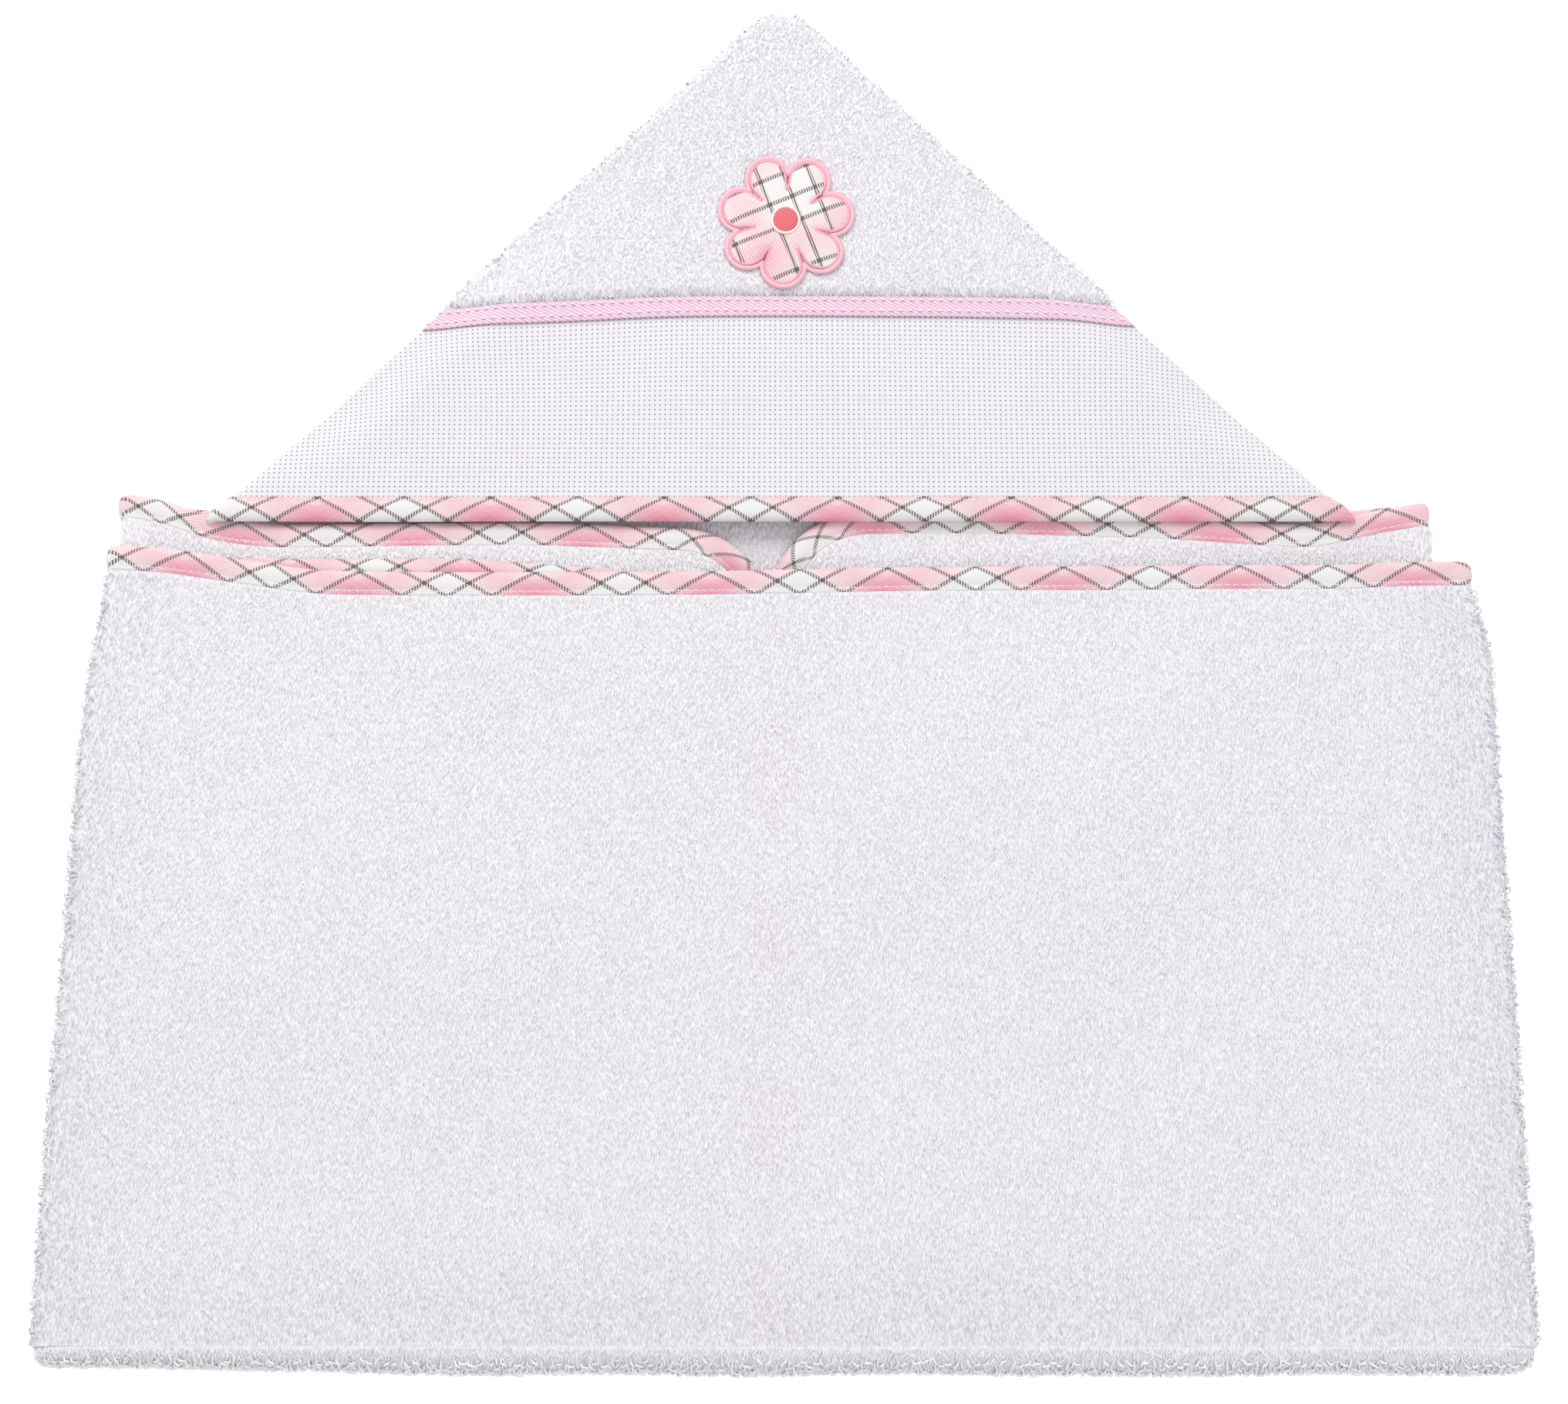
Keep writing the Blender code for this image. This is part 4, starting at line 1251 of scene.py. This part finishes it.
# %% [markdown]
# ## Flower
# The flower is a plaid patch over wadding, with a satin-stitched edge that also runs inwards
# between the petals, a cream ring and a coral middle. The patch is a dome over the petal
# outline. The satin edge is a cord whose surface is ribbed by its own stitches.
# %% Flower outline
PETALS = 7
SECTOR = 2 * math.pi / PETALS
PETAL_CENTRE = 0.0165  # from the flower's middle to a petal's
PETAL_RADIUS = 0.0083
PETAL_PHASE = math.radians(-93)  # one petal points almost straight down
FLOWER_X = 0.0018
FLOWER_Y = TAPE_TOP_Y + 0.0284
STRETCH_UP = 1.19  # the flower is a little taller than it is wide
STRETCH_DOWN = 1.08
PATCH_INSET = 0.0013  # the patch's edge lies this far inside the outline


def from_petal(angle):
    """Angle from the nearest petal's middle line."""
    return (angle - PETAL_PHASE + SECTOR / 2) % SECTOR - SECTOR / 2


def flower_radius(angle, inset):
    """Distance from the middle to the outline, a row of round petals drawn in by inset."""
    off = from_petal(angle)
    size = PETAL_RADIUS - inset
    inside = np.maximum(size**2 - (PETAL_CENTRE * np.sin(off)) ** 2, 0)
    radius = PETAL_CENTRE * np.cos(off) + np.sqrt(inside)
    notch = PETAL_CENTRE * math.cos(SECTOR / 2) + 0.0012 - inset
    return np.maximum(radius, notch)


def lay_flower(over):
    """Places on the hood, counted from the flower's middle."""

    def lay(x, y):
        tall = np.where(y > 0, STRETCH_UP, STRETCH_DOWN)
        surface = lay_hood_terry(x + FLOWER_X, y * tall + FLOWER_Y)
        surface[..., 2] += over
        return surface

    return lay


def flower_disc(name, radii, height, material, coordinates, over, under):
    """A domed disc: rings from the middle out, closed below by a flat underside."""
    angles = np.linspace(0, 2 * math.pi, radii.shape[1], endpoint=False)
    x, y = radii * np.cos(angles)[None], radii * np.sin(angles)[None]
    top = lay_flower(over)(x, y)
    top[..., 2] += height
    bottom = lay_flower(under)(x, y)[::-1]
    points = np.concatenate([top, bottom]).reshape(-1, 3)
    faces = lattice_faces(2 * len(radii), radii.shape[1], close=True)
    both = np.concatenate([coordinates(x, y), coordinates(x, y)[::-1]]).reshape(-1, 3)
    return mesh_object(name, points, outward(points, faces), [material], both)


print(f"flower about {2 * (PETAL_CENTRE + PETAL_RADIUS):.3f} m wide, {PETALS} petals")

# %% [markdown]
# ## The patch and its wadding
# The patch is one piece of plaid, cut straight and laid at a slant, domed by the wadding under
# it and drawn down along the seams between the petals. Its white stripes cross near the top.
# %% Patch and wadding
PATCH_TURN = math.radians(22)
STRAIGHT_REPEAT = 0.034  # one repeat of the plaid, cut straight


def patch_coordinates(x, y):
    """Place in both repeats of the plaid, and along its twill."""
    first = (x * math.cos(PATCH_TURN) + y * math.sin(PATCH_TURN) + 0.0032) / STRAIGHT_REPEAT
    second = (x * math.sin(PATCH_TURN) - y * math.cos(PATCH_TURN) + 0.0158) / STRAIGHT_REPEAT
    return np.stack([first, second, x * 0.94 + y * 0.34], -1)


def patch_height(x, y):
    """Height of the padded patch over the terry, lower at its edge and along the petal seams."""
    angle, radius = np.arctan2(y, x), np.hypot(x, y)
    share = np.clip(radius / flower_radius(angle, PATCH_INSET), 0, 1)
    from_seam = np.abs(radius * np.sin(SECTOR / 2 - np.abs(from_petal(angle))))
    puff = 0.0021 * np.sqrt(1 - share**5)
    groove = 0.0007 * np.exp(-((from_seam / 0.0013) ** 2)) * smooth_step((radius - 0.009) / 0.003)
    return puff - groove + 0.0002 * ripple(x, y, 0.012, 31)


shares = np.concatenate([[0.002], np.linspace(0.03, 1, 40)])
angles = np.linspace(0, 2 * math.pi, 420, endpoint=False)
radii = shares[:, None] * flower_radius(angles, PATCH_INSET)[None]
dome = patch_height(radii * np.cos(angles), radii * np.sin(angles))
PATCH_OVER = 0.0018  # the patch's edge over the terry's middle
patch = flower_disc("flower_patch_cloth", radii, dome, PATCH_PLAID, patch_coordinates, PATCH_OVER, 0.0012)
dress(patch, "plaid_patch", "flower_patch", body="hood")


def plain_coordinates(x, y):
    return np.stack([x, y, x * 0], -1)


wad_radii = shares[::4, None] * flower_radius(angles[::3], 0.0022)[None]
wad_top = 0.0009 * np.sqrt(np.clip(1 - shares[::4, None] ** 6, 0, 1)) * np.ones_like(wad_radii)
WADDING = Recipe("white wadding", Roughness=1.0)
WADDING.feed("Base Color", WADDING.mix(WADDING.noise(700.0), (0.8, 0.8, 0.8), (0.95, 0.95, 0.95)))
wadding = flower_disc(
    "flower_padding", wad_radii, wad_top, WADDING.material, plain_coordinates, 0.0003, -0.0006
)
dress(wadding, "wadding", "flower_wadding", body="hood")
print("patch:", len(patch.data.polygons), "faces")

# %% [markdown]
# ## Satin stitches
# Satin stitch is thread wound side by side over an edge, so it reads as a ribbed cord. The cord
# is swept along its line with three rings to each turn of thread, the first of them thinner.
# The outer cord covers the patch's edge, the inner one also runs in between the petals.
# %% Satin stitches
def satin_material(name, light, deep):
    """Shiny thread. The first flat coordinate counts its turns."""
    recipe = Recipe(name, Specular_IOR_Level=0.5, Sheen_Weight=0.2)
    along, _, _ = recipe.flat()
    thread = recipe.wave(along, 1.0)
    # Painted light and shade: the colour goes from deep to light once each turn of thread, across the
    # ribs.
    recipe.feed("Base Color", recipe.mix(recipe.step(thread, 0.15, 0.7), deep, light))
    recipe.feed("Roughness", thread * -0.12 + 0.55)
    return recipe.material


SATIN_PINK = satin_material("pink satin stitch", (0.93, 0.50, 0.58), (0.84, 0.30, 0.41))
SATIN_PALE = satin_material("pale pink satin stitch", (0.95, 0.62, 0.68), (0.88, 0.45, 0.54))
SATIN_CREAM = satin_material("cream satin stitch", (0.96, 0.92, 0.84), (0.88, 0.80, 0.68))
SATIN_CORAL = satin_material("coral satin stitch", (0.93, 0.24, 0.26), (0.62, 0.05, 0.09))


RINGS_A_TURN = 3
CORD_SIDES = 8
FLATTEN = 0.75  # a cord's height, as a share of its width


def round_line(radius, count):
    """Places on a line round the flower's middle."""
    angles = np.linspace(0, 2 * math.pi, count, endpoint=False)
    radius = radius(angles) if callable(radius) else radius
    return radius * np.cos(angles), radius * np.sin(angles)


def satin_cord(name, line, lift, radius, pitch, material):
    """A ribbed cord along a closed line round the flower. Each rib is one turn of thread."""
    points = np.stack(line, -1)
    loop = np.concatenate([points, points[:1]])
    run = run_length(loop)
    turns = int(run[-1] / pitch)
    count = turns * RINGS_A_TURN
    at = np.arange(count) / count * run[-1]
    fx, fy = np.interp(at, run, loop[:, 0]), np.interp(at, run, loop[:, 1])
    place = np.stack([fx, fy], -1)
    ahead = unit(np.roll(place, -2, 0) - np.roll(place, 2, 0))
    side = np.stack([ahead[:, 1], -ahead[:, 0]], -1)
    size = radius * np.where(np.arange(count) % RINGS_A_TURN == 0, 0.84, 1.0)
    random = np.random.default_rng(17)
    size = size * (1 + 0.05 * random.standard_normal(turns)[np.arange(count) // RINGS_A_TURN])
    height = lift(fx, fy) if callable(lift) else lift
    rings = []
    for corner in range(CORD_SIDES):
        angle = 2 * math.pi * corner / CORD_SIDES
        off = size * math.cos(angle)
        spot = lay_flower(PATCH_OVER)(fx + side[:, 0] * off, fy + side[:, 1] * off)
        spot[:, 2] += height + size * math.sin(angle) * FLATTEN
        rings.append(spot)
    faces = lattice_faces(count, CORD_SIDES, close=True)
    first = np.arange(CORD_SIDES)
    last = first + (count - 1) * CORD_SIDES
    closing = np.stack([last, np.roll(last, -1), np.roll(first, -1), first], -1)
    faces = np.concatenate([faces, closing])
    turn = np.repeat(np.arange(count) / RINGS_A_TURN, CORD_SIDES)
    coordinates = np.stack([turn, turn * 0, turn * 0], -1)
    points = np.stack(rings, 1).reshape(-1, 3)
    return mesh_object(name, points, outward(points, faces), [material], coordinates)


print("a cord has", RINGS_A_TURN, "rings to each turn of thread")


# %% Cords of the flower
def petal_line(inset, notch_in, gap):
    """A line round the petals that also runs in between them, up to notch_in from the middle."""
    size = PETAL_RADIUS - inset
    line = []
    for petal in range(PETALS):
        middle = PETAL_PHASE + SECTOR * petal
        centre = np.array([math.cos(middle), math.sin(middle)]) * PETAL_CENTRE
        for angle in np.linspace(-1, 1, 44) * (math.pi / 2 + SECTOR / 2):
            line.append(centre + size * np.array([math.cos(middle + angle), math.sin(middle + angle)]))
        between = middle + SECTOR / 2
        along = np.array([math.cos(between), math.sin(between)])
        across = np.array([-math.sin(between), math.cos(between)]) * gap
        for side in (-1, -0.6, 0.6, 1):
            deep = notch_in + (0.0012 if abs(side) == 1 else 0)
            line.append(along * deep + across * side)
    return np.array(line).T


def over_patch(x, y):
    return patch_height(x, y) + 0.0001


outer_line = round_line(lambda angle: flower_radius(angle, 0.0009), 900)
petals = petal_line(0.0020, 0.0112, 0.00045)
RING_RADIUS = 0.0048
edge_outer = satin_cord("flower_edge_cord", outer_line, 0.0004, 0.0010, 0.00042, SATIN_PALE)
edge_inner = satin_cord("flower_petal_cord", petals, over_patch, 0.0005, 0.00036, SATIN_PINK)
cream = satin_cord("flower_ring_cord", round_line(RING_RADIUS, 200), 0.0024, 0.00055, 0.0004, SATIN_CREAM)
dress(edge_outer, "pink_satin_stitch", "flower_edge_stitching", body="hood")
dress(edge_inner, "pink_satin_stitch", body="hood")
dress(cream, "cream_satin_stitch", "flower_ring", body="hood")
print("satin cords:", edge_outer.name, edge_inner.name, cream.name)

# %% [markdown]
# ## The flower's middle
# The coral middle is satin stitch too, but straight across a disc. Its threads lie side by side
# at a slant, as fine ridges on a low dome.
# %% Flower middle
THREAD_GAP = 0.0008
MIDDLE_RADIUS = 0.0044
MIDDLE_SLANT = math.radians(32)


def middle_coordinates(x, y):
    """The first coordinate counts the threads across the middle."""
    place = (x * math.sin(MIDDLE_SLANT) + y * math.cos(MIDDLE_SLANT)) / THREAD_GAP
    return np.stack([place, x * 0, x * 0], -1)


mid_shares = np.concatenate([[0.003], np.linspace(0.02, 1, 56)])[:, None]
mid_angles = np.linspace(0, 2 * math.pi, 220, endpoint=False)
mid_r = mid_shares * np.full((1, len(mid_angles)), MIDDLE_RADIUS)
thread = middle_coordinates(mid_r * np.cos(mid_angles), mid_r * np.sin(mid_angles))[..., 0]
dome = 0.0028 + 0.0005 * np.sqrt(np.clip(1 - mid_shares**3, 0, 1))
dome = dome + 0.0001 * np.cos(2 * math.pi * thread)
middle_disc = flower_disc(
    "flower_middle_stitches", mid_r, dome, SATIN_CORAL, middle_coordinates, 0.0016, 0.0035
)
dress(middle_disc, "coral_satin_stitch", "flower_middle", body="hood")
print("flower's middle:", len(middle_disc.data.polygons), "faces")

# %% [markdown]
# ## The pile itself
# Now the loops are set on every terry surface. Those seen close, on the front panel, the strips
# and the hood, are dense; the inner faces of the folded layers show only when the towel is
# opened, and get fewer. No loop stands under a binding or on the line where the front half
# hinges. Taller, looser tufts stand on the folds, where pile shows against the table.
# %% Where the loops stand
DENSE = 0.0013
LOOSE = 0.0023
LONG = 0.0027  # length of the loops that stand far apart
FROM_BINDING = 0.0006
TOP_STRIP = 0.03  # the strip of each flap that shows above the layer in front


def clear_of_binding(u, v, height):
    """True where a loop doesn't stand under the binding of a half's edge."""
    w = from_free_edge(u)
    top = height - BINDING - FROM_BINDING
    inner = CORNER - BINDING - FROM_BINDING
    corner = (CORNER - w) ** 2 + (v - height + CORNER) ** 2 < inner**2
    in_corner = (w < CORNER) & (v > height - CORNER)
    return (v > CLEAR + 0.001) & (v < top) & (w > BINDING + FROM_BINDING) & (~in_corner | corner)


def on_panel(u, v):
    """True on the panel and the outer half of the side folds, which show from above."""
    return from_free_edge(u) > FLAP_WIDTH - 0.004


def on_flap(u, v):
    return ~on_panel(u, v)


def on_flap_strip(u, v):
    return on_flap(u, v) & (v > FRONT_HEIGHT - TOP_STRIP)


def below_flap_strip(u, v):
    return on_flap(u, v) & (v <= FRONT_HEIGHT - TOP_STRIP)


def on_side_fold(u, v):
    """True on the outer part of the side folds, where standing loops show against the table."""
    w = from_free_edge(u)
    return (w > FLAP_WIDTH + SIDE_ARC * 0.1) & (w < FLAP_WIDTH + SIDE_ARC * 0.95)


def half_places(height, gap, seed, part):
    """Places for loops on a part of a half, clear of its binding."""
    return pile_places(
        (0, FLAT_WIDTH), (0, height), gap, seed, lambda u, v: clear_of_binding(u, v, height) & part(u, v)
    )


def anywhere(u, v):
    return np.full(len(u), True)


print("loops stand", DENSE, "or", LOOSE, "m apart")

# %% [markdown]
# ## Tinted yarn
# White terry isn't one white. The pink checks of the bindings that are folded inside show faintly through
# the front panel, and where the cloth turns down at a fold a darker yarn paints in its shade. A share of
# the loops there gets a tinted yarn, which stays soft-edged because each loop is drawn alone.
# %% Pile on the body
CHECKS_SHIFT = 0.072


def pink_below(u, v):
    """Share of loops that look pink over the flaps' hidden bindings."""
    x = u - FLAT_WIDTH / 2
    checks = 0.5 + 0.5 * np.cos(2 * math.pi * (v - FRONT_HEIGHT + CHECKS_SHIFT) / REPEAT_ALONG)
    middle = np.exp(-(((x + 0.0045) / 0.008) ** 2)) * checks
    return 0.8 * middle * smooth_step((FRONT_HEIGHT - 0.012 - v) / 0.02) * (np.abs(x) < 0.03)


def painted_shade_near_folds(u, v):
    """Share of loops in the darker yarn that paints shade, more of them towards the side folds and the
    bottom fold.
    """
    side = smooth_step((np.abs(u - FLAT_WIDTH / 2) - SIDE_X + 0.03) / 0.04)
    return np.maximum(0.85 * side, 0.35 * smooth_step((0.028 - v) / 0.024))


def painted_shade_below_fold(x, s):
    """Share of loops in the darker yarn that paints shade round the bottom fold, from none at its top."""
    return 0.75 * smooth_step((1 - s / FOLD_LENGTH) / 0.5)


def lay_fold(x, s):
    """The bottom fold, s metres round it."""
    return lay_bottom(x, s / FOLD_REACH)


TUFT = {"size": 0.0024, "wander": 1.3, "lift": 0.0012}
# The fold yarn paints shade towards the side folds and the bottom fold.
front_tints = ((OVER_PINK, pink_below), (PAINTED_FOLD_SHADE, painted_shade_near_folds))
front_places = half_places(FRONT_HEIGHT, DENSE, 1, on_panel)
front_inner = half_places(FRONT_HEIGHT, LOOSE, 2, on_flap)
side_places = half_places(FRONT_HEIGHT, 0.002, 23, on_side_fold)
front_pile = make_pile("front_pile", lay_front, front_places, 11, tints=front_tints)
front_pile += make_pile("lower_flap_pile", lay_front, front_inner, 12, size=LONG)
front_pile += make_pile("side_tufts", lay_front, side_places, 24, tints=front_tints[1:], **TUFT)

flap_places = half_places(BACK_HEIGHT, LOOSE, 3, below_flap_strip)
strip_places = half_places(BACK_HEIGHT, DENSE, 4, on_flap_strip)
under_places = half_places(BACK_HEIGHT, LOOSE, 5, on_panel)
neck_span = (FLAT_WIDTH / 2 - 0.055, FLAT_WIDTH / 2 + 0.04)  # the panel that shows between the flaps
neck_places = pile_places(neck_span, (0.012 - FOLD_Y, BACK_HEIGHT - BINDING), DENSE, 9, anywhere)
back_pile = make_pile("upper_flap_pile", lay_back, flap_places, 13, size=LONG, sign=-1)
back_pile += make_pile("upper_strip_pile", lay_back, strip_places, 14, sign=-1)
back_pile += make_pile("back_pile", lay_back, under_places, 15, size=LONG, sign=-1)
back_pile += make_pile("neck_pile", lay_back, neck_places, 19)

fold_span = (-FOLD_END_X + 0.001, FOLD_END_X - 0.001)
fold_places = pile_places(fold_span, (-CLEAR, FOLD_LENGTH + CLEAR), 0.0014, 6, anywhere)
tuft_span = (-FOLD_END_X + 0.002, FOLD_END_X - 0.002)
tuft_places = pile_places(tuft_span, (0.2 * FOLD_LENGTH, 0.8 * FOLD_LENGTH), 0.0021, 21, anywhere)
bottom_pile = make_pile(
    "bottom_pile", lay_fold, fold_places, 16, wander=0.45, lift=0.0005, tints=((PAINTED_FOLD_SHADE, painted_shade_below_fold),)
)
bottom_pile += make_pile("bottom_tufts", lay_fold, tuft_places, 22, **TUFT)

for piece in bottom_pile:
    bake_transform(piece)
for pieces, body in ((front_pile, "front_half"), (back_pile, "folded_back")):
    for piece in pieces:
        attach(piece, body)

# %% [markdown]
# ## Pile on the hood
# The hood's front is terry down to the tape, except under the flower, which presses the pile
# flat. Its back has loops below, where it lies on the table, and a dense patch above, which is
# seen through the open mouth. The strip that curls at the neck has none below, because loops
# there would be drawn out long when the hood is laid over.
# %% Pile on the hood
HOOD_SPAN = (-0.16, 0.16)
BACK_SPAN = (-0.2, 0.2)
MOUTH_SPAN = (-0.06, 0.05)


def off_flower(c, y):
    """True where the flower doesn't press the pile flat."""
    x, up = c - FLOWER_X, y - FLOWER_Y
    up = up / np.where(up > 0, STRETCH_UP, STRETCH_DOWN)
    return np.hypot(x, up) > flower_radius(np.arctan2(up, x), 0.0008)


def on_front(c, y):
    return (np.abs(c) < hood_reach(y, TERRY_OVER, TUCK) - 0.0008) & off_flower(c, y)


def at_leg(c, y):
    """True close to a leg, where standing loops show against the table."""
    return np.abs(np.abs(c) - hood_half_width(y) - 0.0005) < 0.0022


def on_back(x, y):
    return np.abs(x) < back_reach(y) - 0.001


def most_loops(c, y):
    """Share of the hood's loops that get a slightly darker yarn, which makes the hood a little darker."""
    return 0.85


tip_top = TIP_Y - 0.001
front_places = pile_places(HOOD_SPAN, (TAPE_TOP_Y + 0.0001, tip_top), DENSE, 7, on_front)
tuft_places = pile_places(HOOD_SPAN, (TAPE_TOP_Y + 0.002, tip_top), 0.0019, 25, at_leg)
past_bend = HOOD_LOW_Y + NECK_BEND * 1.04
back_places = pile_places(BACK_SPAN, (past_bend, TIP_Y - 0.005), LOOSE, 8, on_back)
mouth_places = pile_places(MOUTH_SPAN, (HOOD_LOW_Y + 0.001, HOOD_LOW_Y + 0.026), DENSE, 10, anywhere)

hood_tints = ((ON_HOOD, most_loops),)
hood_pile = make_pile("hood_pile", lay_hood_terry, front_places, 17, wander=0.4, tints=hood_tints)
hood_pile += make_pile("hood_tufts", lay_hood_terry, tuft_places, 26, size=0.0023, wander=1.3, lift=0.001)
hood_back_pile = make_pile(
    "hood_back_pile", lay_hood_back, back_places, 18, size=LONG, wander=1.0, sign=-1
)
hood_back_pile += make_pile("mouth_pile", lay_hood_back, mouth_places, 20, wander=1.0)
for piece in hood_pile:
    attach(piece, "hood")
for piece in hood_back_pile:
    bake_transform(piece)

# %% [markdown]
# ## Cut sizes
# The hood's flat area is worked out as half its width at the neck times its height, and the names of the
# terry cloths are printed.
# %% Cut sizes of the terry
hood_area = float(hood_half_width(np.array(HOOD_LOW_Y))) * (TIP_Y - HOOD_LOW_Y)
print("declared", [piece.name for piece in (back_cloth, front_cloth, bottom_cloth, hood_back, hood_front)])

# %% [markdown]
# ## Floor and light
# White cloth on a white table needs soft light with one clear direction, or the folds vanish.
# A wide lamp over the hood's side gives short shadows towards the lower edge, a weaker one
# fills from the front, and a pale world lifts the rest.
# %% Floor and lights
FLOOR_REACH = 4.0
FLOOR_Z = -0.0006  # just under the lowest loops
PALE, PALER = (0.9, 0.9, 0.9), (0.92, 0.92, 0.92)
floor_recipe = Recipe("pale floor", Roughness=0.9, Specular_IOR_Level=0.1, Emission_Strength=0.4)
floor_recipe.feed("Emission Color", (1.0, 1.0, 1.0))
floor_recipe.feed("Base Color", floor_recipe.mix(floor_recipe.noise(3.0), PALE, PALER))
corners = [(-1, -1), (1, -1), (1, 1), (-1, 1)]
floor_points = np.array([(x * FLOOR_REACH, y * FLOOR_REACH, FLOOR_Z) for x, y in corners])
floor = mesh_object("floor", floor_points, np.array([[0, 1, 2, 3]]), [floor_recipe.material])


def area_light(name, place, size, power, colour):
    """A round soft lamp that points at the middle of the towel."""
    data = bpy.data.lights.new(name, "AREA")
    data.shape = "DISK"
    data.size = size
    data.energy = power
    data.color = colour
    light = bpy.data.objects.new(name, data)
    light.location = place
    light.rotation_euler = (-Vector(place)).to_track_quat("-Z", "Y").to_euler()
    bpy.context.scene.collection.objects.link(light)


area_light("key", (-0.5, 1.3, 1.3), size=1.3, power=21, colour=(1, 0.99, 0.985))
area_light("fill", (0.6, -1.0, 1.6), size=1.6, power=10, colour=(0.98, 0.985, 1))

world = bpy.data.worlds.new("studio")
world.use_nodes = True
background = world.node_tree.nodes["Background"]
background.inputs["Color"].default_value = (0.97, 0.975, 1, 1)
background.inputs["Strength"].default_value = 0.58
bpy.context.scene.world = world
bpy.context.scene.view_settings.view_transform = "Standard"
print("floor and lights are set")
